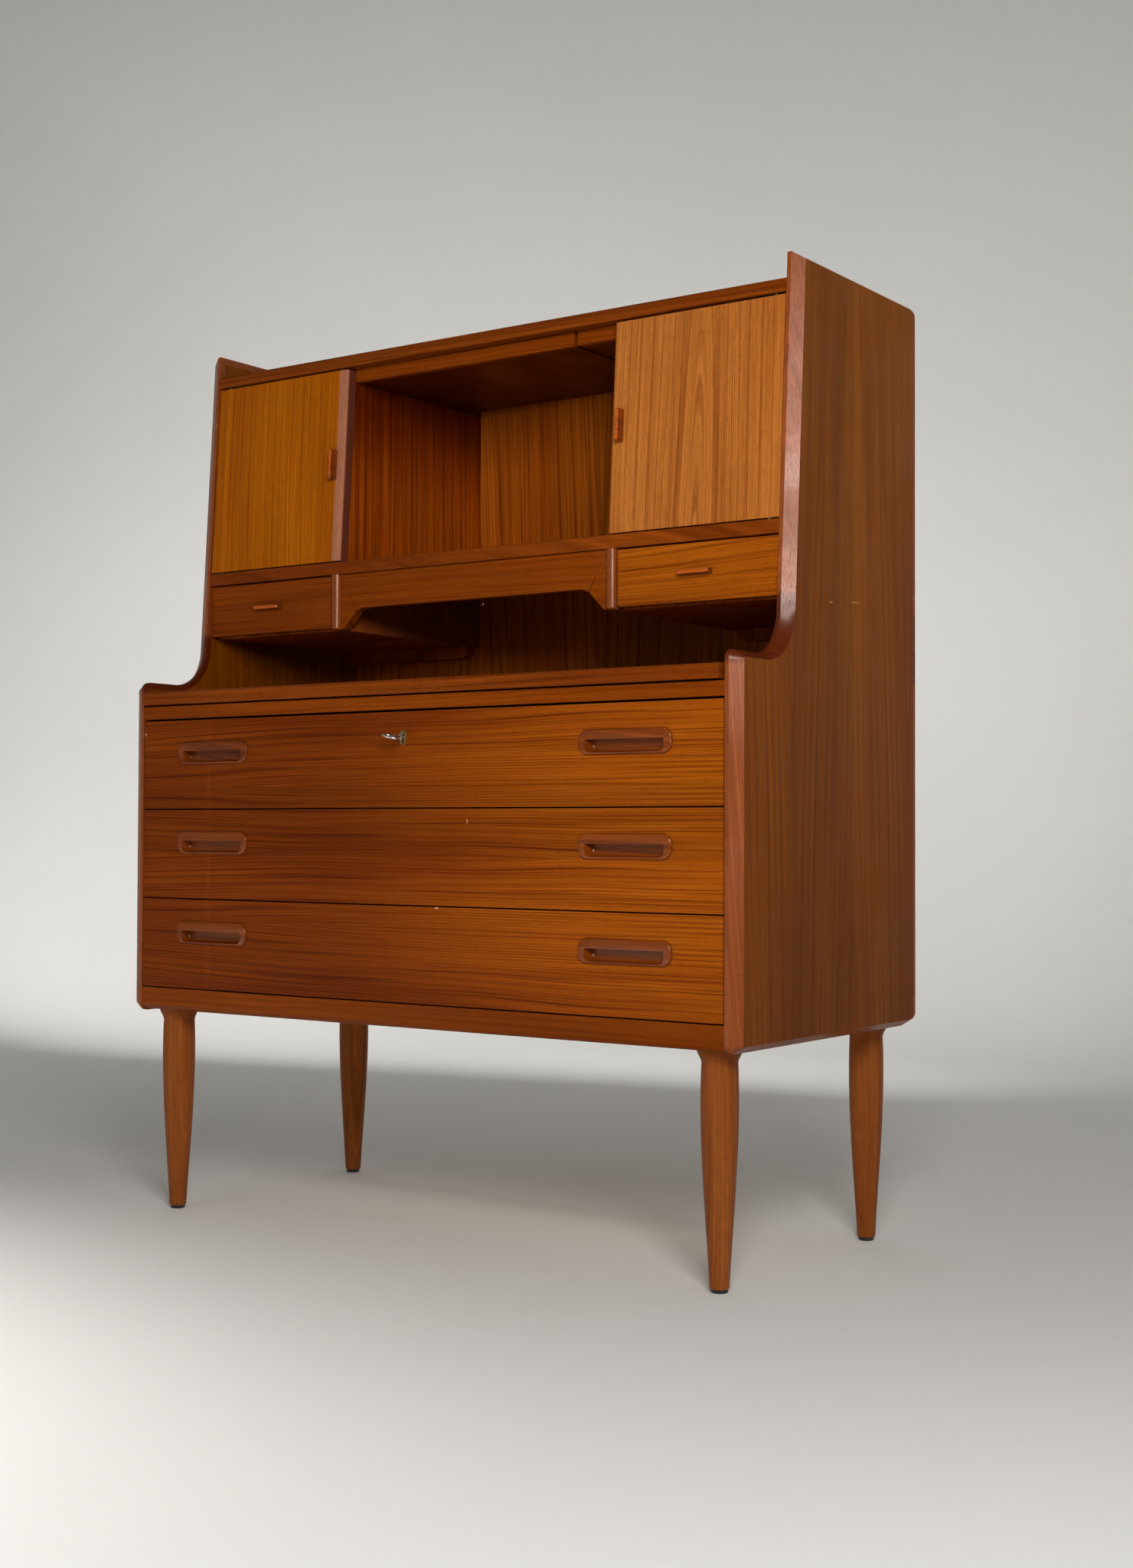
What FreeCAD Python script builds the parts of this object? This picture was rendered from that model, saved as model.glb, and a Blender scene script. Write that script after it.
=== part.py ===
"""Teak secretary desk: three long drawers on turned legs, a sliding writing leaf and a hutch.

Units are millimetres. X runs to the desk's right, Y to its back and Z up. While the pieces are
made, Y = 0 is the front of the lower case and Z = 0 the floor; ORIGIN_Y then moves the origin to
the middle of the whole outline, on the floor.
"""
import FreeCAD, Part
import math
import os

V = FreeCAD.Vector

# Driving dimensions
WIDTH = 1020.0
HEIGHT = 1266.0
DEPTH = 468.0
KEY_REACH = 35.0                    # how far the key stands out in front of the case
ORIGIN_Y = (DEPTH - KEY_REACH) / 2

SIDE_THICK = 21.0
LIPPING_FLAT = 5.5                  # narrow front flat, next to the inside of the case
LIPPING_DEEP = 9.6                  # depth of the solid edge; its outer part is all bevel
BACK_LIPPING = 6.5
CASE_BOTTOM = 287.0
CHEST_TOP = 762.0
CHEST_CORNER = 12.0
SWEEP_RADIUS = 60.0                 # hollow curve from the chest up to the hutch
LEAN = math.radians(3.4)            # how far the hutch front leans back
LEAN_FOOT_Y = 124.6                 # the leaning edge, at the height LEAN_FOOT_Z
LEAN_FOOT_Z = 838.0

INNER = WIDTH / 2 - SIDE_THICK      # inside face of a side panel
BACK_FRONT = 462.0                  # front face of the back panels
BACK_THICK = 5.2

TOP_Z = (1216.5, 1234.0)
SHELF_Z = (914.7, 932.8)
SHELF_FRONT = 129.7
DIVIDER_X = (231.0, 246.0)
DIVIDER_BOTTOM = 835.5
FLOOR_Z = (836.0, 845.0)            # floor boards under the small drawers

LEAF_Z = (727.5, 746.0)
LEAF_HALF = 484.7
LEAF_FRONT = -7.0
LEAF_BACK = 452.0
LEAF_LIP_DEEP = 15.0
GROOVE_Z = (733.0, 740.5)
GROOVE_DEEP = 5.5
GROOVE_START = 20.0

RAIL_Z = (707.0, 725.6)
RAIL_BACK = 30.5
SUPPORT_IN = 474.0                  # inner face of the strips that carry the writing leaf
SUPPORT_Z = (715.0, 727.1)
DUST_Z = (716.0, 720.0)
BOTTOM_Z = (289.5, 307.5)
BOTTOM_RAIL_TOP = 321.0
FRONT_SETBACK = 0.5                 # rails and drawer fronts lie just behind the side edges
FRONT_THICK = 20.0

DRAWER_Z = {"1": (578.1, 704.0), "2": (450.9, 576.1), "3": (323.0, 448.9)}
DRAWER_HALF = 487.2
BOX_HALF = 485.5
BOX_SIDE = 14.0
BOX_BACK_Y = 440.0
RUNNER_HIGH = 14.0
RUNNER_ABOVE = 52.0                 # runner's underside above the drawer front's lower edge
RUNNER_PLAY = 0.5
RUNNER_IN = 478.2                   # inner face of a runner strip
RUNNER_START = 24.0

PULL_X = 349.0
PULL_RISE = 16.0                    # pull's centre above the drawer front's centre
PULL_LONG = 136.0
PULL_HIGH = 32.0
PULL_PROUD = 3.5
PULL_SUNK = 15.0

LOCK_Z = 670.0
LOCK_CASE_X = 22.0                  # half its width
LOCK_CASE_Y = (8.5, FRONT_SETBACK + FRONT_THICK)
LOCK_CASE_Z = (LOCK_Z - 28, 698.0)
BOLT_X = 7.0                        # half its width
BOLT_Y = (10.0, 14.0)
BOLT_TOP = 703.4
PLATE_HALF = (5.0, 9.8)             # half the escutcheon's width and height
PLATE_PROUD = 0.9
PLATE_LET_IN = 0.6
KEY_R = 2.2
KEY_TILT = 15.0
BIT_REACH = 8.0

SMALL_X = (248.2, 487.3)
SMALL_Z = (838.4, 912.7)
SMALL_FRONT_Y = 133.5
SMALL_THICK = 16.0

DOOR_X = (231.5, 487.2)
DOOR_Z = (934.8, 1214.0)
DOOR_THICK = 18.0
DOOR_SETBACK = 2.0
DOOR_LIPPING = 15.0
DOOR_NOSE = 7.5
PIVOT_IN = 16.0                     # door pin's axis, from the door's outer end
PIVOT_DEEP = 5.0                    # and behind its front face
PIN_R = 2.5
PIN_PLAY = 0.06
HINGE_X = (430.0, 484.0)
HINGE_LEAF = 2.0                    # thickness of a hinge leaf
HINGE_WIDE = 12.0

TRAY_Z = (1197.2, 1215.5)
TRAY_FRONT_Y = 165.0
TRAY_BACK_Y = 430.0
TRAY_SPLIT = (156.3, 161.7)
TRAY_RUNNER_Z = (1205.0, 1208.4)

LEG_X = 457.0
LEG_Y = (44.0, 427.0)
LEG_BOLT_R = 4.0
LEG_BOLT_RISE = 13.0                # how far a leg's bolt goes up into the bottom board
LEG_BOLT_DROP = 29.5                # and down into the leg
GLIDE_R = 10.2
GLIDE_HIGH = 4.5
GLIDE_STEM_R = 2.0
GLIDE_STEM_TOP = 15.5


def leaning_y(height):
    """Y of the leaning front edge of the hutch at a height."""
    return LEAN_FOOT_Y + (height - LEAN_FOOT_Z) * math.tan(LEAN)


def door_front(height):
    """Y of a door's front face at a height."""
    return leaning_y(height) + DOOR_SETBACK


def box(x, y, z):
    """Block between two X, two Y and two Z values."""
    size = (x[1] - x[0], y[1] - y[0], z[1] - z[0])
    return Part.makeBox(*size, V(x[0], y[0], z[0]))


def prism_x(outline, x):
    """Polygon of (Y, Z) points, pushed along X."""
    points = [V(x[0], y, z) for y, z in outline]
    face = Part.Face(Part.makePolygon(points + points[:1]))
    return face.extrude(V(x[1] - x[0], 0, 0))


def prism_y(outline, y):
    """Polygon of (X, Z) points, pushed along Y."""
    points = [V(x, y[0], z) for x, z in outline]
    face = Part.Face(Part.makePolygon(points + points[:1]))
    return face.extrude(V(0, y[1] - y[0], 0))


def mirrored(shape):
    """The same piece on the desk's left."""
    return shape.mirror(V(0, 0, 0), V(1, 0, 0))


def rod(radius, start, end):
    """Round bar from one point to another."""
    axis = end - start
    return Part.makeCylinder(radius, axis.Length, start, axis)


def edges_where(shape, test):
    """Edges whose centre of mass passes a test."""
    return [edge for edge in shape.Edges if test(edge.CenterOfMass)]


def write(name, *solids):
    """Write one node; all its solids are shifted to the desk's own frame."""
    group = solids[0] if len(solids) == 1 else Part.makeCompound(list(solids))
    moved = group.copy()
    moved.translate(V(0, -ORIGIN_Y, 0))
    moved.exportStep("parts/" + name + ".step")
    NODES.append(name)


NODES = []


# Side panels

def side_outline(x, front_in, back_in):
    """Closed outline of a side panel at X, drawn in from the front, top and bottom edges by
    front_in and from the back edge by back_in."""
    bottom = CASE_BOTTOM + front_in
    chest = CHEST_TOP - front_in
    top = HEIGHT - front_in
    back = DEPTH - back_in
    front = front_in
    corner = max(CHEST_CORNER - front_in, 2.0)
    sweep = SWEEP_RADIUS + front_in
    shift = front_in / math.cos(LEAN)

    turn = (math.pi / 2 - LEAN) / 2
    meet_y = leaning_y(chest) + shift
    sweep_start = V(x, meet_y - sweep * math.tan(turn), chest)
    centre = sweep_start + V(0, 0, sweep)
    sweep_end = centre + V(0, sweep * math.cos(LEAN), -sweep * math.sin(LEAN))
    middle = centre + V(0, sweep * math.sin(turn), -sweep * math.cos(turn))
    apex = V(x, leaning_y(top) + shift, top)

    def corner_mid(y, z, to_y, to_z):
        reach = corner * (1 - math.sqrt(0.5))
        return V(x, y + to_y * reach, z + to_z * reach)

    # the back corners are low curves, tail long and drop high
    tail = 14.0
    drop = 7.0
    bow = 0.62
    edges = [
        Part.LineSegment(V(x, front, bottom + corner), V(x, front, chest - corner)),
        Part.Arc(V(x, front, chest - corner), corner_mid(front, chest, 1, -1),
                 V(x, front + corner, chest)),
        Part.LineSegment(V(x, front + corner, chest), sweep_start),
        Part.Arc(sweep_start, middle, sweep_end),
        Part.LineSegment(sweep_end, apex),
        Part.LineSegment(apex, V(x, back - tail, top)),
        Part.Arc(V(x, back - tail, top), V(x, back - tail * (1 - bow), top - drop * 0.3),
                 V(x, back, top - drop)),
        Part.LineSegment(V(x, back, top - drop), V(x, back, bottom + drop)),
        Part.Arc(V(x, back, bottom + drop), V(x, back - tail * (1 - bow), bottom + drop * 0.3),
                 V(x, back - tail, bottom)),
        Part.LineSegment(V(x, back - tail, bottom), V(x, front + corner, bottom)),
        Part.Arc(V(x, front + corner, bottom), corner_mid(front, bottom, 1, 1),
                 V(x, front, bottom + corner)),
    ]
    return Part.Wire([edge.toShape() for edge in edges])


def side_blank():
    """Right side panel with its bevelled edge, before the core and edge are parted."""
    flat_x = INNER + LIPPING_FLAT
    flat = Part.Face(side_outline(INNER, 0, 0)).extrude(V(LIPPING_FLAT, 0, 0))
    outer = side_outline(WIDTH / 2, LIPPING_DEEP - 0.1, 0)
    bevel = Part.makeLoft([side_outline(flat_x, 0, 0), outer], True, True)
    return flat.fuse(bevel).removeSplitter()


def side_core_outline_solid():
    """Space inside the solid edges, which the veneered core fills."""
    outline = Part.Face(side_outline(INNER - 1, LIPPING_DEEP, BACK_LIPPING))
    return outline.extrude(V(SIDE_THICK + 2, 0, 0))


def make_sides():
    """Both side panels and the solid pieces that edge them."""
    blank = side_blank()
    core_space = side_core_outline_solid()
    core = blank.common(core_space)
    edging = blank.cut(core_space)
    groove = box((INNER - 1, INNER + GROOVE_DEEP), (GROOVE_START, DEPTH + 1), GROOVE_Z)
    core = core.cut(groove)
    edging = edging.cut(groove)

    joint_z = LEAN_FOOT_Z + 2
    chest_joint = CHEST_TOP - 17
    wide = (INNER - 5, WIDTH / 2 + 5)
    far = DEPTH + 10
    back_piece = box(wide, (DEPTH - BACK_LIPPING, far), (0, HEIGHT + 5))
    hutch_piece = box(wide, (-10, 300), (joint_z, HEIGHT - LIPPING_DEEP))
    top_piece = box(wide, (-10, far), (HEIGHT - LIPPING_DEEP, HEIGHT + 5))
    sweep_piece = box(wide, (-10, 300), (chest_joint, joint_z))
    lower_piece = box(wide, (-10, far), (0, chest_joint))
    pieces = []
    rest = edging
    for region in (back_piece, top_piece, hutch_piece, sweep_piece, lower_piece):
        pieces += rest.common(region).Solids
        rest = rest.cut(region)
    write("side_panel_right", core)
    write("side_panel_left", mirrored(core))
    write("side_edging_right", *pieces)
    write("side_edging_left", *[mirrored(piece) for piece in pieces])


# Fixed boards

def make_top_and_shelf():
    """Top panel and hutch floor; each is a board and its solid front edge."""
    edge_deep = 12.0
    top_front = leaning_y(TOP_Z[0]) - 2.5
    bevel_z = TOP_Z[0] + 7.0
    edge = prism_x([(top_front, TOP_Z[0]), (top_front + 0.3, bevel_z), (top_front + 5.0, TOP_Z[1]),
                    (top_front + edge_deep, TOP_Z[1]), (top_front + edge_deep, TOP_Z[0])],
                   (-INNER, INNER))
    board = box((-INNER, INNER), (top_front + edge_deep, BACK_FRONT), TOP_Z)
    recesses = hinge_recesses(top=True)
    write("top_panel", board.cut(recesses).cut(back_screws()), edge.cut(recesses))

    shelf_edge = box((-INNER, INNER), (SHELF_FRONT, SHELF_FRONT + edge_deep - 2), SHELF_Z)
    rounded = edges_where(shelf_edge, lambda c: abs(c.y - SHELF_FRONT) < 0.1 and abs(c.x) < 1)
    shelf_edge = shelf_edge.makeFillet(1.5, rounded)
    shelf = box((-INNER, INNER), (SHELF_FRONT + edge_deep - 2, BACK_FRONT), SHELF_Z)
    recesses = hinge_recesses(top=False)
    write("hutch_shelf", shelf.cut(recesses).cut(back_screws()), shelf_edge.cut(recesses))


def make_dividers():
    def upper_front(height):
        return door_front(height) + DOOR_THICK + 2.0

    upper = prism_x([(upper_front(SHELF_Z[1]), SHELF_Z[1]), (BACK_FRONT, SHELF_Z[1]),
                     (BACK_FRONT, TOP_Z[0]), (upper_front(TOP_Z[0]), TOP_Z[0])], DIVIDER_X)
    middle_x = sum(DIVIDER_X) / 2
    nose_r = (DIVIDER_X[1] - DIVIDER_X[0]) / 2
    nose_y = 128.0 + nose_r
    height = SHELF_Z[0] - DIVIDER_BOTTOM
    post = Part.makeCylinder(nose_r, height, V(middle_x, nose_y, DIVIDER_BOTTOM))
    low_rim = edges_where(post, lambda c: abs(c.z - DIVIDER_BOTTOM) < 0.1)
    post = post.makeFillet(3.0, low_rim[:1])
    lower = post.fuse(box(DIVIDER_X, (nose_y, BACK_FRONT), (DIVIDER_BOTTOM, SHELF_Z[0])))
    lower = lower.removeSplitter()
    for side, turn in (("right", lambda s: s), ("left", mirrored)):
        write("hutch_divider_" + side, turn(upper))
        write("small_drawer_divider_" + side, turn(lower))


def make_apron():
    """Front board between the small drawers, with its raised middle."""
    arch_z = 865.0
    shoulder_z = 837.2
    half = DIVIDER_X[0]
    front_y = 135.5
    thick = 16.0
    foot_x, bend_x, crown_x = 224.5, 201.0, 189.0
    bend_z = arch_z - 3.5
    bend_r = 9.0
    board = box((-half, half), (front_y, front_y + thick), (DIVIDER_BOTTOM + 1, SHELF_Z[0]))
    right = [(crown_x, arch_z), (bend_x, bend_z), (foot_x, shoulder_z), (foot_x, shoulder_z - 5)]
    left = [(-x, z) for x, z in reversed(right)]
    cut = prism_y(left + right, (front_y - 1, front_y + thick + 1))
    middle_y = front_y + thick / 2

    def is_bend(c):
        at_bend = min(abs(abs(c.x) - bend_x), abs(abs(c.x) - crown_x)) < 1
        return abs(c.y - middle_y) < 0.1 and at_bend

    write("apron", board.cut(cut.makeFillet(bend_r, edges_where(cut, is_bend))))


def make_small_drawer_floors():
    floor = box((DIVIDER_X[1], INNER), (SMALL_FRONT_Y + SMALL_THICK + 1.5, BACK_FRONT), FLOOR_Z)
    write("small_drawer_floors", floor, mirrored(floor))
    cleat_in, cleat_low = 243.0, 818.0
    cleat_deep, cleat_round = 18.0, 14.0
    cleat_y = (BACK_FRONT - cleat_deep, BACK_FRONT)
    cleat = box((cleat_in, INNER), cleat_y, (cleat_low, FLOOR_Z[0]))
    corner = edges_where(cleat, lambda c: abs(c.x - cleat_in) < 0.1 and abs(c.z - cleat_low) < 0.1)
    cleat = cleat.makeFillet(cleat_round, corner)
    # the cleat is notched for the divider's foot
    cleat = cleat.cut(box((cleat_in - 3, DIVIDER_X[1]), (cleat_y[0] - 1, cleat_y[1] + 1),
                          (DIVIDER_BOTTOM, FLOOR_Z[0] + 1)))
    write("rear_cleats", cleat, mirrored(cleat))


def back_screws():
    """Screws through the back panels into the top, the hutch floor and the bottom."""
    shank_r, head_r, head_high, grip = 1.5, 3.0, 0.7, 9.0
    spacing = 150.0
    back = BACK_FRONT + BACK_THICK
    screws = []
    for z in (TOP_Z[1] - grip, sum(SHELF_Z) / 2, BOTTOM_Z[0] + grip):
        for step in range(-3, 4):
            x = step * spacing
            shank = rod(shank_r, V(x, back, z), V(x, BACK_FRONT - grip, z))
            head = rod(head_r, V(x, back, z), V(x, back + head_high, z))
            screws.append(head.fuse(shank).removeSplitter())
    return screws


def make_back_panels():
    split = LEAF_Z[0] - 0.5
    y = (BACK_FRONT, BACK_FRONT + BACK_THICK)
    upper = box((-INNER, INNER), y, (split + 0.5, TOP_Z[1]))
    hole_r, hole_x, hole_z = 2.4, -226.5, 903.0
    hole = rod(hole_r, V(hole_x, y[0] - 1, hole_z), V(hole_x, y[1] + 1, hole_z))
    lower = box((-INNER, INNER), y, (BOTTOM_Z[0], split))
    screws = back_screws()
    write("back_panel_upper", upper.cut(hole).cut(screws))
    write("back_panel_lower", lower.cut(screws))
    write("back_screws", *screws)


def make_leaf_supports():
    """Rail over the top drawer, and the strips and thin panel that lie behind it."""
    behind_rail = (RAIL_BACK, BACK_FRONT)
    support = box((SUPPORT_IN, INNER), behind_rail, SUPPORT_Z)
    write("leaf_supports", support, mirrored(support))
    rail = box((-INNER, INNER), (FRONT_SETBACK, RAIL_BACK), RAIL_Z)
    room = 1.5
    mortise = box((-BOLT_X - room, BOLT_X + room), (BOLT_Y[0] - room, BOLT_Y[1] + room),
                  (RAIL_Z[0] - 1, RAIL_Z[0] + 11))
    write("desk_rail", rail.cut(mortise))
    write("dust_panel", box((-SUPPORT_IN, SUPPORT_IN), behind_rail, DUST_Z))


def make_bottom():
    board = box((-INNER, INNER), (FRONT_SETBACK + FRONT_THICK, BACK_FRONT), BOTTOM_Z)
    rail = box((-INNER, INNER), (FRONT_SETBACK, FRONT_SETBACK + FRONT_THICK),
               (BOTTOM_Z[0], BOTTOM_RAIL_TOP))
    under = edges_where(rail, lambda c: abs(c.z - BOTTOM_Z[0]) < 0.1 and c.y < 1 and abs(c.x) < 1)
    under_round = 9.0
    rail = rail.makeFillet(under_round, under)
    hole_r = LEG_BOLT_R + 0.2
    for sx in (-1, 1):
        for y in LEG_Y:
            board = board.cut(rod(hole_r, V(sx * LEG_X, y, BOTTOM_Z[0] - 1),
                                  V(sx * LEG_X, y, BOTTOM_Z[0] + LEG_BOLT_RISE + 1)))
    write("bottom_panel", board.cut(back_screws()))
    write("bottom_rail", rail)


def make_runners():
    """Hardwood strips on the side panels that carry the long drawers."""
    strips = []
    for low, _ in DRAWER_Z.values():
        z = low + RUNNER_ABOVE
        strip = box((RUNNER_IN, INNER), (RUNNER_START, BOX_BACK_Y), (z, z + RUNNER_HIGH))
        strips += [strip, mirrored(strip)]
    write("drawer_runners", *strips)


# Legs

def leg_profile():
    """Half outline of a turned leg as a face in the XZ plane, foot at Z = 0."""
    top = BOTTOM_Z[0]
    foot_r, knee_r, belly_r, neck_r, flare_r = 12.0, 17.5, 22.7, 22.3, 28.2
    knee_z, belly_z, neck_z = 92.0, 197.0, top - 20
    eased = 1.2
    centre = V(0, 0, GLIDE_HIGH)
    foot = V(foot_r - eased, 0, GLIDE_HIGH)
    foot_edge = V(foot_r, 0, GLIDE_HIGH + eased)
    curve = Part.BSplineCurve()
    curve.interpolate([foot_edge, V(knee_r, 0, knee_z), V(belly_r, 0, belly_z), V(neck_r, 0, neck_z)])
    flare = Part.BSplineCurve()
    flare.interpolate([V(neck_r, 0, neck_z), V(neck_r + 1.1, 0, neck_z + 8),
                       V(flare_r - 0.8, 0, top - 3.5), V(flare_r, 0, top)])
    edges = [Part.LineSegment(centre, foot).toShape(),
             Part.LineSegment(foot, foot_edge).toShape(),
             curve.toShape(), flare.toShape(),
             Part.LineSegment(V(flare_r, 0, top), V(0, 0, top)).toShape(),
             Part.LineSegment(V(0, 0, top), centre).toShape()]
    return Part.Face(Part.Wire(edges))


def make_legs():
    leg = leg_profile().revolve(V(0, 0, 0), V(0, 0, 1), 360)
    top = BOTTOM_Z[0]
    leg = leg.cut(rod(LEG_BOLT_R, V(0, 0, top - LEG_BOLT_DROP - 0.5), V(0, 0, top + 1)))
    leg = leg.cut(rod(GLIDE_STEM_R, V(0, 0, 0), V(0, 0, GLIDE_STEM_TOP + 0.5)))
    disc = Part.makeCylinder(GLIDE_R, GLIDE_HIGH)
    disc = disc.makeFillet(1.2, edges_where(disc, lambda c: c.z < 0.1)[:1])
    stem = rod(GLIDE_STEM_R, V(0, 0, GLIDE_HIGH - 0.5), V(0, 0, GLIDE_STEM_TOP))
    glide = disc.fuse(stem).removeSplitter()
    bolt = rod(LEG_BOLT_R, V(0, 0, top - LEG_BOLT_DROP), V(0, 0, top + LEG_BOLT_RISE))
    glides = []
    bolts = []
    for sx, across in ((-1, "left"), (1, "right")):
        for y, along in zip(LEG_Y, ("front", "rear")):
            place = V(sx * LEG_X, y, 0)
            write("leg_%s_%s" % (along, across), leg.translated(place))
            glides.append(glide.translated(place))
            bolts.append(bolt.translated(place))
    write("leg_glides", *glides)
    write("leg_bolts", *bolts)


# Writing leaf

def make_leaf():
    lip_y = (LEAF_FRONT, LEAF_FRONT + LEAF_LIP_DEEP)
    lip = box((-LEAF_HALF, LEAF_HALF), lip_y, LEAF_Z)
    front_top = edges_where(lip, lambda c: abs(c.y - lip_y[0]) < 0.1 and abs(c.z - LEAF_Z[1]) < 0.1)
    lip = lip.makeChamfer(3.0, front_top)
    front_low = edges_where(lip, lambda c: abs(c.y - lip_y[0]) < 0.1 and abs(c.z - LEAF_Z[0]) < 0.1)
    lip = lip.makeFillet(1.5, front_low)
    board = box((-LEAF_HALF, LEAF_HALF), (lip_y[1], LEAF_BACK), LEAF_Z)
    tongue_front = 264.0
    play = 0.5
    tongue = box((LEAF_HALF, INNER + GROOVE_DEEP - 0.6), (tongue_front, LEAF_BACK),
                 (GROOVE_Z[0] + play, GROOVE_Z[1] - play))
    write("writing_leaf_board", board, tongue, mirrored(tongue))
    write("writing_leaf_front_edge", lip)


# Long drawers

def pull_blank(grow, y):
    """Rounded bar, PULL_LONG by PULL_HIGH plus grow all round, between two Y values."""
    half_l = PULL_LONG / 2 + grow
    half_h = PULL_HIGH / 2 + grow
    bar = box((-half_l, half_l), y, (-half_h, half_h))
    corners = edges_where(bar, lambda c: abs(abs(c.x) - half_l) < 0.1 and abs(abs(c.z) - half_h) < 0.1)
    return bar.makeFillet(half_h - 2.5, corners)


def recessed_pull():
    """Bar let into the front, hollowed for the fingertips, with a brow to hook them behind."""
    face_y = FRONT_SETBACK - PULL_PROUD
    bar = pull_blank(0, (face_y, FRONT_SETBACK + PULL_SUNK))
    rim_round = 2.4
    bar = bar.makeFillet(rim_round, edges_where(bar, lambda c: abs(c.y - face_y) < 0.1))
    hollow_half, hollow_back = 56.0, 12.0
    brow_z, roof_z, sill_z = 4.5, 9.5, -13.0
    scoop = [(face_y - 2, brow_z), (face_y + 4, brow_z), (face_y + 7, roof_z), (hollow_back, roof_z),
             (hollow_back, 2.5), (face_y + 4, sill_z + 1), (face_y - 2, sill_z)]
    return bar.cut(prism_x(scoop, (-hollow_half, hollow_half)))


def drawer_box(low, high):
    """Two grooved sides and a back, as separate boards, and the plywood bottom."""
    z = (low + 10, high - 14)
    back_z = (z[0] + 14, z[1] - 8)
    y = (FRONT_SETBACK + FRONT_THICK, BOX_BACK_Y)
    inside = BOX_HALF - BOX_SIDE
    back_thick = 14.0
    bottom_z = (z[0] + 7, z[0] + 12)
    bottom_let_in = 5.0
    groove_in = RUNNER_IN - 0.7
    groove_z = (low + RUNNER_ABOVE - RUNNER_PLAY, low + RUNNER_ABOVE + RUNNER_HIGH + RUNNER_PLAY)
    bottom = box((-inside - bottom_let_in, inside + bottom_let_in), (y[0], y[1] - 2), bottom_z)
    side = box((inside, BOX_HALF), y, z)
    side = side.cut(box((groove_in, BOX_HALF + 1), (y[0], y[1] + 1), groove_z)).cut(bottom)
    back = box((-inside, inside), (y[1] - back_thick, y[1]), back_z)
    return side, mirrored(side), back, bottom


def make_long_drawers():
    for number, (low, high) in DRAWER_Z.items():
        front = box((-DRAWER_HALF, DRAWER_HALF), (FRONT_SETBACK, FRONT_SETBACK + FRONT_THICK),
                    (low, high))
        pull_z = (low + high) / 2 + PULL_RISE
        pulls = []
        for sx in (-1, 1):
            place = V(sx * PULL_X, 0, pull_z)
            pocket = pull_blank(0.05, (FRONT_SETBACK - 5, FRONT_SETBACK + PULL_SUNK))
            front = front.cut(pocket.translated(place))
            pulls.append(recessed_pull().translated(place))
        if number == "1":
            front = front.cut(lock_space())
        write("drawer_%s_front" % number, front)
        write("drawer_%s_box" % number, *drawer_box(low, high))
        write("drawer_%s_pulls" % number, *pulls)


# Lock in the top drawer

def key_hole(y):
    """Round hole with a slot under it."""
    hole = rod(KEY_R + 0.4, V(0, y[0], LOCK_Z), V(0, y[1], LOCK_Z))
    slot = box((-1.2, 1.2), y, (LOCK_Z - BIT_REACH - 0.6, LOCK_Z))
    return hole.fuse(slot)


def lock_space():
    """What the lock takes out of the drawer front."""
    bore_r, slot_half, room = 5.0, 2.0, 0.4
    case = box((-LOCK_CASE_X, LOCK_CASE_X), (LOCK_CASE_Y[0], LOCK_CASE_Y[1] + 1), LOCK_CASE_Z)
    bolt_way = box((-BOLT_X - room, BOLT_X + room), (BOLT_Y[0] - room, BOLT_Y[1] + room),
                   (LOCK_CASE_Z[1] - 1, DRAWER_Z["1"][1] + 2))
    plate = escutcheon_blank((FRONT_SETBACK - 3, FRONT_SETBACK + PLATE_LET_IN))
    bore = rod(bore_r, V(0, 0, LOCK_Z), V(0, LOCK_CASE_Y[0] + 1, LOCK_Z))
    slot = box((-slot_half, slot_half), (0, LOCK_CASE_Y[0] + 1), (LOCK_Z - BIT_REACH - 1, LOCK_Z))
    return case.fuse(bolt_way).fuse(plate).fuse(bore).fuse(slot)


def escutcheon_blank(y):
    """Round-ended plate between two Y values."""
    half_w, half_h = PLATE_HALF
    plate = box((-half_w, half_w), y, (LOCK_Z - half_h, LOCK_Z + half_h))
    corners = edges_where(plate, lambda c: abs(abs(c.x) - half_w) < 0.1
                          and abs(abs(c.z - LOCK_Z) - half_h) < 0.1)
    return plate.makeFillet(half_w - 0.4, corners)


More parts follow.
